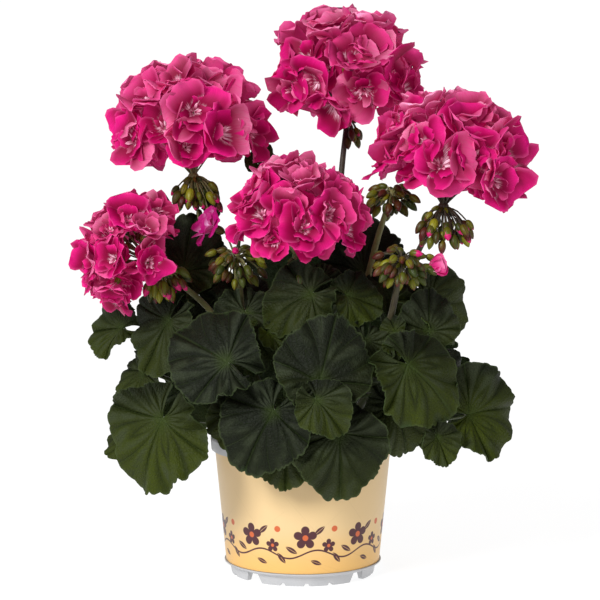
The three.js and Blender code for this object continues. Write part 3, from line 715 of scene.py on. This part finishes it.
def petiole(number, leaf):
    """The places and radii of a leaf's petiole, which sags on its way or takes a detour round other leaves."""
    face = leaf_frame(leaf[1], leaf[2])[0]
    end = np.array(leaf[0]) - face * 0.2
    neck = end - face * min(NECK, 0.8 * leaf[3])
    detour = DETOURS.get(number)
    start = shoot_start(neck if detour is None else np.array(detour))
    sag = (start + neck) / 2
    sag[2] = max(sag[2] - 3, POT_HEIGHT + 6)
    places = smooth_path([start, sag if detour is None else detour, neck, end], PETIOLE_STEPS)
    girth = PETIOLE_R * min(1, leaf[3] / 15)
    radii = []
    for i in range(PETIOLE_STEPS + 1):
        flare = 0.25 if i > PETIOLE_STEPS - 2 else 0
        radii.append(girth * (1.25 - 0.4 * i / PETIOLE_STEPS + flare))
    return places, radii


petioles = grown("petioles", [petiole(i + 1, leaf) for i, leaf in enumerate(LEAVES + YOUNG_LEAVES)], 3)
mark(petioles, "ruddy", 0.12)
fit(petioles, green_skin, "stems", "stems")

blade_skin, blade_shader, blade_place = finish("leaf_blade", Roughness=0.5, Specular_IOR_Level=0.12)
paleness = blade_place.attribute("paleness")
lower = blade_place.attribute("lower")
_, round_share, outward_share = blade_place.map_axes("UVMap")
turned = (round_share - 0.5) * (2 * SINUS)
half_lobe = ((turned / LOBE + 0.5).of("FRACT") - 0.5).of("ABSOLUTE") * LOBE
midrib = (half_lobe * outward_share).step(0.03, 0.0)
fanned = half_lobe / (0.35 + 0.65 * outward_share)
forks = (fanned * 7.5).of("SINE").of("ABSOLUTE").step(0.14, 0.0) * outward_share.step(0.15, 0.5)
twigs = (fanned * 15).of("SINE").of("ABSOLUTE").step(0.2, 0.0) * outward_share.step(0.6, 0.9)
branches = midrib.of("MAXIMUM", 0.8 * forks).of("MAXIMUM", 0.5 * twigs)
net = blade_place.node("TexVoronoi", {"feature": "DISTANCE_TO_EDGE"}, {"Vector": blade_place, "Scale": 420})
patches = blade_place.grain(45, 3)
drift = blade_place.grain(32)
folds = (fanned * 7.5 + 1.8 * (drift - 0.5)).of("SINE").of("ABSOLUTE")
dark_green = (0.0065, 0.0085, 0.004)
fresh_green = (0.038, 0.052, 0.002)
upper_colour = (paleness + 0.7 * (patches - 0.5)).step(0, 1).between(dark_green, fresh_green)
# Painted shade: the valleys between the leaf's folds are darkened almost to black, in place of the shade that
# falls in those creases.
painted_fold_shade = 0.8 * drift * folds.step(0.95, 0.0) * outward_share.step(0.1, 0.5)
upper_colour = painted_fold_shade.between(upper_colour, (0.004, 0.006, 0.003))
# Painted sheen: the crests of the folds are lightened to a grey green, where light would catch them.
painted_ridge_sheen = 0.55 * folds.step(0.5, 1.0) * patches.step(0.42, 0.6)
upper_colour = painted_ridge_sheen.between(upper_colour, (0.04, 0.05, 0.028))
upper_colour = (0.4 * outward_share.step(0.3, 0.02)).between(upper_colour, (0.035, 0.06, 0.006))
upper_colour = (0.3 * branches).between(upper_colour, (0.045, 0.07, 0.018))
upper_colour = (0.25 * net.step(0.12, 0.02)).between(upper_colour, (0.014, 0.022, 0.008))
upper_colour = (0.45 * outward_share.step(0.955, 1.0)).between(upper_colour, (0.06, 0.085, 0.03))
relief = 0.4 * net.step(0.0, 0.3) + 0.8 * (1 - branches) + 0.3 * blade_place.grain(700)
paint(
    blade_shader,
    Base_Color=(0.75 * lower).between(upper_colour, (0.035, 0.06, 0.02)),
    Roughness=0.5 + 0.2 * patches,
    Normal=relief.bump(0.55, 0.0014),
)


def finished_blade(name, leaf, grid, node):
    """A blade whose corners carry how pale they are and whether they belong to its lower side."""
    blade = leaf_blade(name, leaf, grid)
    heights = read_corners(blade.data)[:, 2] / MM
    mark(blade, "paleness", leaf[5] * (1 + 0.9 * (heights.mean() - heights) / leaf[3]))
    normals = np.array([corner.normal for corner in blade.data.vertices])
    mark(blade, "lower", (normals @ leaf_frame(leaf[1], leaf[2])[0] < 0).astype(float))
    fit(blade, blade_skin, "leaf", node)


for number, leaf in enumerate(LEAVES, 1):
    finished_blade(f"blade_{number:02d}", leaf, BLADE_GRID, f"leaf_{number:02d}")
for kind, leaves, grid, node in (
    ("young", YOUNG_LEAVES, YOUNG_GRID, "stems"),
    ("sprig", SPRIG_LEAVES, TIP_GRID, "stems"),
    ("stalk", STALK_LEAVES, TIP_GRID, "head_A_stalk"),
):
    for number, leaf in enumerate(leaves, 1):
        finished_blade(f"{kind}_blade_{number}", leaf, grid, node)

# Buds: pointed ovals of five green sepals, flushed red and brown, that hang from thin hairy pedicels. The
# oldest show the tips of their petals.

BUD_WIDTH = 0.28
PEDICEL_R = 0.55


def bud_pattern():
    bpy.ops.object.select_all(action="DESELECT")
    bpy.ops.mesh.primitive_uv_sphere_add(segments=10, ring_count=8, radius=1)
    bud = bpy.context.object
    corners = read_corners(bud.data)
    share = np.clip((corners[:, 2] + 1) / 2, 0, 1)
    round_turn = np.arctan2(corners[:, 1], corners[:, 0])
    girth = 2.32 * BUD_WIDTH * share**0.5 * (1 - share) ** 0.75 * (1 + 0.07 * np.cos(5 * round_turn))
    write_corners(bud.data, np.c_[girth * np.cos(round_turn), girth * np.sin(round_turn), share])
    return bud


class Pattern:
    """One modelled piece that is copied many times: its corners, faces and map."""

    def __init__(self, piece):
        mesh = piece.data
        self.corners = read_corners(mesh)
        self.loops = np.empty(len(mesh.loops), int)
        mesh.loops.foreach_get("vertex_index", self.loops)
        self.starts = np.empty(len(mesh.polygons), int)
        mesh.polygons.foreach_get("loop_start", self.starts)
        uv = np.empty(2 * len(mesh.loops))
        mesh.uv_layers.active.data.foreach_get("uv", uv)
        self.uv = uv.reshape(-1, 2)
        normals = np.array([corner.normal for corner in mesh.vertices])
        self.under = (normals[:, 2] < -0.2).astype(float)
        bpy.data.objects.remove(piece)

    def copies(self, name, shapes, marks):
        """One mesh from the placed corners of many copies, with a value for each copy in every mark."""
        count, corners = len(shapes), len(self.corners)
        mesh = bpy.data.meshes.new(name)
        mesh.vertices.add(count * corners)
        mesh.vertices.foreach_set("co", np.concatenate(shapes).astype(np.float32).ravel() * MM)
        mesh.loops.add(count * len(self.loops))
        loops = np.concatenate([self.loops + i * corners for i in range(count)])
        mesh.loops.foreach_set("vertex_index", loops.astype(np.int32))
        mesh.polygons.add(count * len(self.starts))
        starts = np.concatenate([self.starts + i * len(self.loops) for i in range(count)])
        mesh.polygons.foreach_set("loop_start", starts.astype(np.int32))
        mesh.uv_layers.new(name="UVMap")
        uv = np.tile(self.uv, (count, 1)).astype(np.float32)
        mesh.uv_layers.active.data.foreach_set("uv", uv.ravel())
        mesh.update(calc_edges=True)
        piece = bpy.data.objects.new(name, mesh)
        bpy.context.scene.collection.objects.link(piece)
        for mark_name, values in marks.items():
            mark(piece, mark_name, np.repeat(np.float32(values), corners))
        mark(piece, "under", np.tile(self.under, count))
        smooth(piece, 60)
        return piece


def cross_directions(axis):
    level = np.array([1.0, 0, 0]) if abs(axis[2]) > 0.999 else np.array([-axis[1], axis[0], 0])
    level = level / np.linalg.norm(level)
    return level, np.cross(axis, level)


def unit(direction):
    direction = np.array(direction, float)
    return direction / np.linalg.norm(direction)


def towards(around, down):
    a, d = math.radians(around), math.radians(down)
    return np.array([math.sin(a) * math.sin(d), -math.cos(a) * math.sin(d), math.cos(d)])


bud_shape = Pattern(bud_pattern())


def place_bud(base, along, length, girth=1):
    first, second = cross_directions(along)
    x, y, z = bud_shape.corners.T * length
    return base + np.outer(x * girth, first) + np.outer(y * girth, second) + np.outer(z, along)


def hanging_bud(root, around, down, reach, length):
    """The pedicel's strand and the bud's corners."""
    out = towards(around, down)
    up = np.array([0, 0, 1])
    base = root + out * reach - up * 0.25 * reach
    along = unit(out - 0.9 * up)
    bend = root + out * 0.55 * reach + up * 0.02 * reach
    strand = smooth_path([root, bend, base, base + along * 0.6], 8), [0.75, *[PEDICEL_R] * 6, 0.8, 1.1]
    return strand, place_bud(base, along, length)


bud_green, bud_shader, bud_place = finish("bud_sepals", Roughness=0.4, Specular_IOR_Level=0.32)
ripe = bud_place.attribute("ripe")
tint = bud_place.attribute("tint")
_, bud_turn, bud_share = bud_place.map_axes("UVMap")
seam = ((bud_turn * 5).of("FRACT") - 0.5).of("ABSOLUTE").step(0.36, 0.5)
blush = (bud_share + 0.8 * (bud_place.grain(160, 3) - 0.5) + 0.5 * seam - 0.35 + 0.3 * ripe).step(0.2, 0.9)
green_or_yellow = (tint * tint).between((0.028, 0.044, 0.004), (0.25, 0.25, 0.012))
flush = (blush + 1.5 * ((tint * 7.3).of("FRACT") - 0.5)).step(0, 1)
bud_colour = flush.between(green_or_yellow, (0.085, 0.011, 0.009))
bud_colour = (0.6 * bud_share.step(0.25, 0.0)).between(bud_colour, (0.014, 0.014, 0.004))
showing = (bud_share + 0.12 * seam - (1.25 - 0.7 * ripe)).step(0.0, 0.05)
paint(
    bud_shader,
    Base_Color=showing.between(bud_colour, (0.65, 0.01, 0.16)),
    Normal=((1 - seam) * 0.5 + 0.4 * bud_place.grain(1500)).bump(0.5, 0.0006),
)

# Stalks: each umbel stands on a stalk of its own, on its shoot's end, which spreads at a green knuckle
# with small bracts into a pedicel for every floret and bud. A head's entry gives its dome, its stalk's way
# and redness, and its sprays of buds.

STALK_R = 2.6
STALK_STEPS = 24
BRACTS = 9
FLORET_PEDICEL = [0.7, 0.6, 0.55, 0.55, 0.6, 0.8, 1.6]
GOLDEN_TURN = 2.39996
INNER_FLORETS = 14
INNER_COVER = 1.1
INNER_TURN = 1.3
INNER_DEPTH = 0.46
HEADS = {
    "A": dict(centre=(-81, 15, 311), axis=(-0.08, -0.1, 1), radius=59, florets=24, cover=1.04, turn=0.4,
              shoot="back_left", path=[(-66, 22, 255)], ruddy=0.35,
              buds=[(-60, 120, 15, 12), (-35, 130, 18, 13), (-10, 145, 14, 11), (40, 140, 16, 10),
                    (75, 125, 24, 11), (85, 105, 16, 12), (65, 152, 28, 12), (200, 130, 16, 12)]),
    "B": dict(centre=(33, 60, 351), axis=(0, -0.12, 1), radius=56, florets=27, cover=1.26, turn=1.0,
              shoot="back_right", path=[(28, 46, 280)], ruddy=0.9,
              buds=[(30, 135, 14, 10), (150, 130, 15, 11)]),
    "C": dict(centre=(102, -24, 291), axis=(0.12, -0.1, 1), radius=58, florets=24, cover=1.04, turn=2.0,
              shoot="right", path=[(79, -12, 226)], ruddy=0.8,
              buds=[(-100, 110, 14, 11), (-60, 125, 20, 12), (-20, 130, 22, 13), (20, 130, 24, 13),
                    (60, 125, 24, 12), (100, 120, 22, 12), (170, 125, 20, 12)]),
    "D": dict(centre=(-3, -48, 252), axis=(0, -0.25, 1), radius=50, florets=22, cover=1.08, turn=0.2,
              shoot="front", path=[(-3, -38, 214)], ruddy=0.4,
              buds=[(20, 135, 15, 11), (60, 130, 14, 10), (-100, 120, 12, 10)]),
    "E": dict(centre=(-116, -32, 233), axis=(-0.75, -0.4, 0.5), radius=44, florets=16, cover=1.1, turn=0.0,
              shoot="left", path=[(-66, -9, 190)], ruddy=0.3,
              buds=[(60, 60, 12, 10), (90, 90, 18, 12), (70, 120, 16, 12), (30, 130, 16, 13),
                    (0, 150, 14, 12), (-30, 140, 15, 12), (120, 110, 12, 10)]),
}


def draws(seed):
    """Numbers from 0 to 1 that look random and are the same each time."""
    state = seed
    while True:
        state = state * 16807 % 2147483647
        yield state / 2147483647


def dome_directions(head, count, cover, turn):
    """Even directions over the dome, each with its height on the axis."""
    axis = unit(head["axis"])
    first, second = cross_directions(axis)
    for i in range(count):
        height = 1 - (i + 0.5) / count * cover
        around = turn + i * GOLDEN_TURN
        level = math.sqrt(max(0, 1 - height**2))
        yield first * level * math.cos(around) + second * level * math.sin(around) + axis * height, height


def floret_places(head, seed):
    """Each floret's throat, where it looks, with a small lean of its own, and its height on the axis."""
    centre = np.array(head["centre"], float)
    draw = draws(seed)
    made = []
    for out, height in dome_directions(head, head["florets"], head["cover"], head["turn"]):
        depth = (0.67 + 0.12 * (next(draw) - 0.5)) * head["radius"]
        lean = np.array([next(draw) - 0.5 for _ in range(3)])
        made.append((centre + out * depth, unit(out + 0.85 * lean), height))
    for out, height in dome_directions(head, INNER_FLORETS, INNER_COVER, head["turn"] + INNER_TURN):
        lean = np.array([next(draw) - 0.5 for _ in range(3)])
        made.append((centre + out * INNER_DEPTH * head["radius"], unit(out + lean), height))
    return made


def stalk_strand(shoot, path, top):
    points = [np.array(point, float) for point in SHOOTS[shoot]]
    end = points[-1]
    away = unit(end - curve_point(points, 0.98))
    foot = end - away * 0.5
    places = smooth_path([foot, end + away * 8, *path, top], STALK_STEPS)
    radii = [STALK_R * (1.05 - 0.012 * i) for i in range(1, STALK_STEPS)]
    return places, [STALK_R * 1.25, *radii, STALK_R * 1.1]


def knuckle(root, axis):
    """The swelling at a stalk's top and the bracts round it."""
    strand = [root - axis * 4, root - axis * 1.5, root + axis, root + axis * 3.5], [2.2, 3.6, 3.9, 2.2]
    bracts = []
    first, second = cross_directions(axis)
    for i in range(BRACTS):
        turn = i * 2 * math.pi / BRACTS
        out = first * math.cos(turn) + second * math.sin(turn)
        bracts.append(place_bud(root + out * 2.6, unit(out - 0.55 * axis), 6.5, 0.75))
    return strand, bracts


def start_umbel(umbel, root, axis):
    """The stalk and the swelling at its top, its bracts, and how ripe they are."""
    swelling, bracts = knuckle(root, axis)
    return [stalk_strand(umbel["shoot"], umbel["path"], root), swelling], bracts, [0.0] * len(bracts)


stalk_skin = stem_skin("stalk_skin", (0.26, 0.25, 0.08), (0.024, 0.01, 0.007))


def build_stalk(name, node, strands, buds, ripeness, ruddy):
    stalk = grown(name + "_pedicels", strands, 2)
    mark(stalk, "ruddy", ruddy)
    fit(stalk, stalk_skin, "flower_stalks" if node.startswith("head") else "buds", node)
    tints = [i * 0.618 % 1 for i in range(len(buds))]
    cluster = bud_shape.copies(name + "_buds", buds, {"ripe": ripeness, "tint": tints})
    fit(cluster, bud_green, "buds", node)


BUD_SPRAY = [(0, 0, 1), (14, 16, 0.8), (-15, -12, 0.9), (26, -10, 0.7), (-27, 14, 1.05)]
FLORETS = {}
for name, head in HEADS.items():
    axis = unit(head["axis"])
    root = np.array(head["centre"], float) - axis * 0.45 * head["radius"]
    FLORETS[name] = floret_places(head, 7 + ord(name))
    strands, buds, ripeness = start_umbel(head, root, axis)
    for throat, out, _ in FLORETS[name]:
        tube_end = throat - out * 2
        bend = root + (tube_end - root) * 0.5 - out * 0.06 * head["radius"] + axis * 0.04 * head["radius"]
        strands.append((smooth_path([root, bend, tube_end], len(FLORET_PEDICEL) - 1), FLORET_PEDICEL))
        buds.append(place_bud(throat - out * 6, out, 9, 0.85))
        ripeness.append(0.2)
    draw = draws(3 + ord(name))
    for around, down, reach, length in head["buds"]:
        for turn, lower_by, share in BUD_SPRAY:
            size = 1.1 * (length * (0.62 + 0.3 * next(draw)))
            strand, bud = hanging_bud(root, around + turn, down + lower_by, 0.85 * reach * share, size)
            strands.append(strand)
            buds.append(bud)
            ripeness.append(next(draw))
    build_stalk("head_" + name, f"head_{name}_stalk", strands, buds, ripeness, head["ruddy"])

# Bud umbels: three clusters that are still in bud, on stalks of their own. Two of them have a first flower
# on a longer pedicel: one is open, and the other only shows its colour.

BUD_UMBELS = {
    "F": dict(at=(68, -62, 229), shoot="front_right", path=[(63, -52, 200)], buds=10, spread=17, turn=1,
              ruddy=0.75,
              first=dict(at=(86, -62, 226), looks=(90, 80), size=6, rise=12, openness=-2.3, lilac=0)),
    "G": dict(at=(64, 12, 272), shoot="middle", path=[(54, 15, 240)], buds=8, spread=13, turn=2, ruddy=0.0),
    "H": dict(at=(-47, -26, 229), shoot="front_left", path=[(-44, -26, 205)], buds=9, spread=16, turn=0,
              ruddy=0.3,
              first=dict(at=(-61, -24, 250), looks=(-70, 62), size=15, rise=11, openness=0.4, lilac=0.8)),
}
UMBEL_SPRAY = [(0, 0, 1), (70, 10, 0.8), (-60, 14, 0.65), (130, -8, 0.9), (-25, 24, 0.85)]
for name, umbel in BUD_UMBELS.items():
    root = np.array(umbel["at"], float)
    strands, buds, ripeness = start_umbel(umbel, root, np.array([0, 0, 1.0]))
    draw = draws(11 + umbel["buds"])
    for i in range(umbel["buds"]):
        down = 25 + 105 * (i + 0.5) / umbel["buds"]
        around = math.degrees(umbel["turn"] + i * GOLDEN_TURN)
        reach = umbel["spread"] * (0.7 + 0.5 * next(draw))
        length = 11 + 3 * next(draw)
        for turn, lower_by, share in UMBEL_SPRAY:
            size = 0.78 * length * share**0.3
            strand, bud = hanging_bud(root, around + turn, down + lower_by, reach * share, size)
            strands.append(strand)
            buds.append(bud)
            ripeness.append(max(0, 1 - 0.35 * i) if turn == 0 else 0.2)
    if "first" in umbel:
        out = towards(*umbel["first"]["looks"])
        throat = np.array(umbel["first"]["at"], float)
        strands.append((smooth_path([root, throat - out * 8, throat - out * 2], 8), [0.7] * 7 + [1, 1.5]))
        buds.append(place_bud(throat - out * 7, out, 11, 1))
        ripeness.append(0)
    build_stalk("buds_" + name, "buds_" + name, strands, buds, ripeness, umbel["ruddy"])

# Florets: semi-double flowers of five broad petals, an inner ring of smaller ones and a few narrow pale
# petaloids, soft and thin, deep pink above and pale below. A head is a dome of them that touch and overlap.

PETAL = 0.35
HEAD_PETAL = 0.4
INNER_SIZE = 0.84
PETAL_RINGS = [
    (5, 1.0, 1.14, 62, 16, 40, False),
    (4, 0.7, 0.92, 70, 30, 34, False),
    (7, 0.44, 0.17, 80, 36, 26, True),
]


def petal_pattern(columns, rows):
    """A broad rounded petal, flat, one unit long: a grid narrowed to its claw, then thickened."""
    bpy.ops.object.select_all(action="DESELECT")
    bpy.ops.mesh.primitive_grid_add(x_subdivisions=columns, y_subdivisions=rows, size=2)
    petal = bpy.context.object
    corners = read_corners(petal.data)
    u, v = corners[:, 0], (corners[:, 1] + 1) / 2
    v = 1 - (1 - v) ** 1.35
    half_width = (0.09 + 0.54 * np.sin(0.5 * math.pi * v**0.8) ** 1.1) * np.sqrt(1 - 0.9 * v**6)
    along = v * (1 - 0.07 * v**2 * u**2) - 0.03 * (np.abs(u) < 0.2) * (v > 0.99)
    write_corners(petal.data, np.c_[u * half_width, along, 0 * u])
    apply_modifier(petal, "SOLIDIFY", thickness=PETAL / 20, offset=0)
    return Pattern(petal)


petal_shape = petal_pattern(7, 6)


def laid_petal(throat, out, turn, length, width, rise, curl, cup, ruffle, phase, tilt):
    """A petal bent from the angle rise at its claw to the angle curl at its tip, in a floret looking out."""
    first, second = cross_directions(out)
    away = first * math.cos(turn) + second * math.sin(turn)
    aside = second * math.cos(turn) - first * math.sin(turn)
    x, s, z = petal_shape.corners.T
    x = x * width
    angle = rise + (curl - rise) * s
    bend = curl - rise if abs(curl - rise) > 1e-3 else 1e-3
    far = (np.sin(angle) - math.sin(rise)) / bend
    up = (math.cos(rise) - np.cos(angle)) / bend
    lift = z + cup * x**2 + tilt * x * s + ruffle * s**2 * np.sin(7 * x + phase)
    lift = lift + 0.6 * ruffle * s**3 * np.sin(17 * x + 2 * phase)
    far = far - np.sin(angle) * lift
    up = up + np.cos(angle) * lift
    return throat + length * (np.outer(far, away) + np.outer(x, aside) + np.outer(up, out))


def lay_floret(throat, out, size, openness, draw, rings=3):
    """The petals of one floret and how pale each is. Openness is 0 for a cup and 1 for a flat face. A ring
    has its count, length, width, rise, curl, what openness takes from the curl, and whether it is pale."""
    shapes, pale = [], []
    turn = next(draw) * 6.28
    spin = 1 if next(draw) > 0.5 else -1
    for ring, (count, length, width, rise, curl, opening, petaloid) in enumerate(PETAL_RINGS[:rings]):
        for k in range(count):
            around = turn + (k + 0.5 * ring + 0.55 * (next(draw) - 0.5)) * 2 * math.pi / count
            shapes.append(laid_petal(
                throat, out, around,
                size * length * (0.8 + 0.34 * next(draw)),
                width * (0.85 + 0.3 * next(draw)),
                math.radians(rise + 24 * (next(draw) - 0.5)),
                math.radians(curl - opening * openness + 56 * (next(draw) - 0.5)),
                0.1 + 0.7 * next(draw), 0.05 + 0.09 * next(draw), 6 * next(draw), spin * 0.4 * next(draw),
            ))
            pale.append(0.9 + 0.5 * next(draw) if petaloid else max(0, 1.6 * next(draw) - 1.2))
    return shapes, pale


# Painted glow: the petals give off a faint magenta light of their own, in place of light passing through them,
# so that their shade stays deep pink.
petal_pink, petal_shader, petal_place = finish(
    "petal_pink", Roughness=0.6, Specular_IOR_Level=0.12, Emission_Strength=0.12
)
under = petal_place.attribute("under")
pale_tone_and_top_light = petal_place.attribute("pale")
lilac = petal_place.attribute("lilac")
petal_map, petal_width, petal_share = petal_place.map_axes("UVMap")
fan = petal_map.node("Mapping", None, {"Vector": petal_map, "Scale": (15, 0.6, 1)})
veins = fan.grain(2.5, 3, 0.6)
soft = petal_place.grain(55, 2)
claw = (petal_share + 0.35 * (veins - 0.5)).step(0.36, 0.14) * (0.2 + 0.8 * veins.step(0.56, 0.44))
# Painted shade: each petal is darkened to deep crimson near its claw, where shade falls in the floret's
# throat.
painted_throat_shade = petal_share.step(0.04, 0.2) * (petal_share + 0.3 * (soft - 0.5)).step(0.82, 0.35)
# Painted highlight: the petals' tips and side edges are lightened to a pale pink, broken by noise, as a
# velvety sheen would catch the light.
side = (petal_width - 0.5).of("ABSOLUTE").step(0.38, 0.5)
rim = (petal_share.step(0.78, 1.0) ** 2 + side**2) * (0.1 + 1.2 * soft)
bloom = (petal_share + 0.8 * (soft - 0.5)).step(0.25, 1.0)
magenta = bloom.between((0.42, 0.0, 0.078), (0.68, 0.008, 0.2))
magenta = (0.3 * veins.step(0.35, 0.7)).between(magenta, (0.33, 0.0, 0.07))
magenta = (0.9 * painted_throat_shade).between(magenta, (0.16, 0.0, 0.022))
# The painted edge highlight is mixed in here.
magenta = (0.55 * rim.of("MINIMUM", 1)).between(magenta, (0.8, 0.1, 0.33))
magenta = claw.between(magenta, (0.95, 0.66, 0.8))
# Pale streaks: the petaloids' and some petals' own paleness, plus the painted top light of the upward-facing
# florets.
streaks_and_top_light = (pale_tone_and_top_light * (0.5 + 0.5 * veins.step(0.3, 0.6)) * petal_share.step(0.3, 0.95)).of("MINIMUM", 1)
streaks_and_top_light = streaks_and_top_light.between(magenta, (0.94, 0.54, 0.7))
# The lower sides grow paler with the same value, so they carry the painted top light too.
pallor = (0.15 + 1.2 * pale_tone_and_top_light + 0.7 * (soft - 0.5)) * petal_share.step(0.3, 1.0)
below = pallor.of("MINIMUM", 1).between((0.62, 0.025, 0.2), (0.93, 0.36, 0.58))
below = (0.6 * petal_share.step(0.6, 0.1)).between(below, (0.36, 0.002, 0.07))
either = under.between(streaks_and_top_light, below)
lilac_colour = petal_share.step(0.6, 0.1).between((0.33, 0.004, 0.15), (0.7, 0.45, 0.72))
paint(
    petal_shader,
    Base_Color=lilac.between(either, lilac_colour),
    # The painted glow, paler on the petals' lower sides.
    Emission_Color=under.between((0.5, 0.0, 0.1), (0.7, 0.05, 0.22)),
    Normal=veins.bump(0.25, 0.0005),
)
for name, head in HEADS.items():
    draw = draws(101 + ord(name))
    shapes, pale = [], []
    for number, (throat, out, height) in enumerate(FLORETS[name]):
        outer = number < head["florets"]
        openness = min(1, max(0, 0.9 - 0.75 * height + 0.5 * (next(draw) - 0.5)))
        size = HEAD_PETAL * head["radius"] * (0.92 + 0.2 * next(draw)) * (1 if outer else INNER_SIZE)
        made, tones = lay_floret(throat, out, size, openness, draw, 3 if outer else 2)
        shapes += made
        # Painted light from above: florets that face upwards are made paler, on top of each petal's own
        # paleness.
        pale += [tone + 0.8 * max(0, out[2] - 0.6) for tone in tones]
    dome = petal_shape.copies(f"head_{name}_florets", shapes, {"pale": pale, "lilac": [0] * len(pale)})
    fit(dome, petal_pink, "petals", f"head_{name}_petals")
for name, umbel in BUD_UMBELS.items():
    if "first" in umbel:
        opening = umbel["first"]
        throat, out = np.array(opening["at"], float), towards(*opening["looks"])
        reach = math.hypot(opening["size"], opening["rise"])
        shapes, pale = lay_floret(throat, out, reach, opening["openness"], draws(5))
        marks = {"pale": pale, "lilac": [opening["lilac"]] * len(pale)}
        flower = petal_shape.copies(f"buds_{name}_first_flower", shapes, marks)
        fit(flower, petal_pink, "petals", f"buds_{name}_flower")
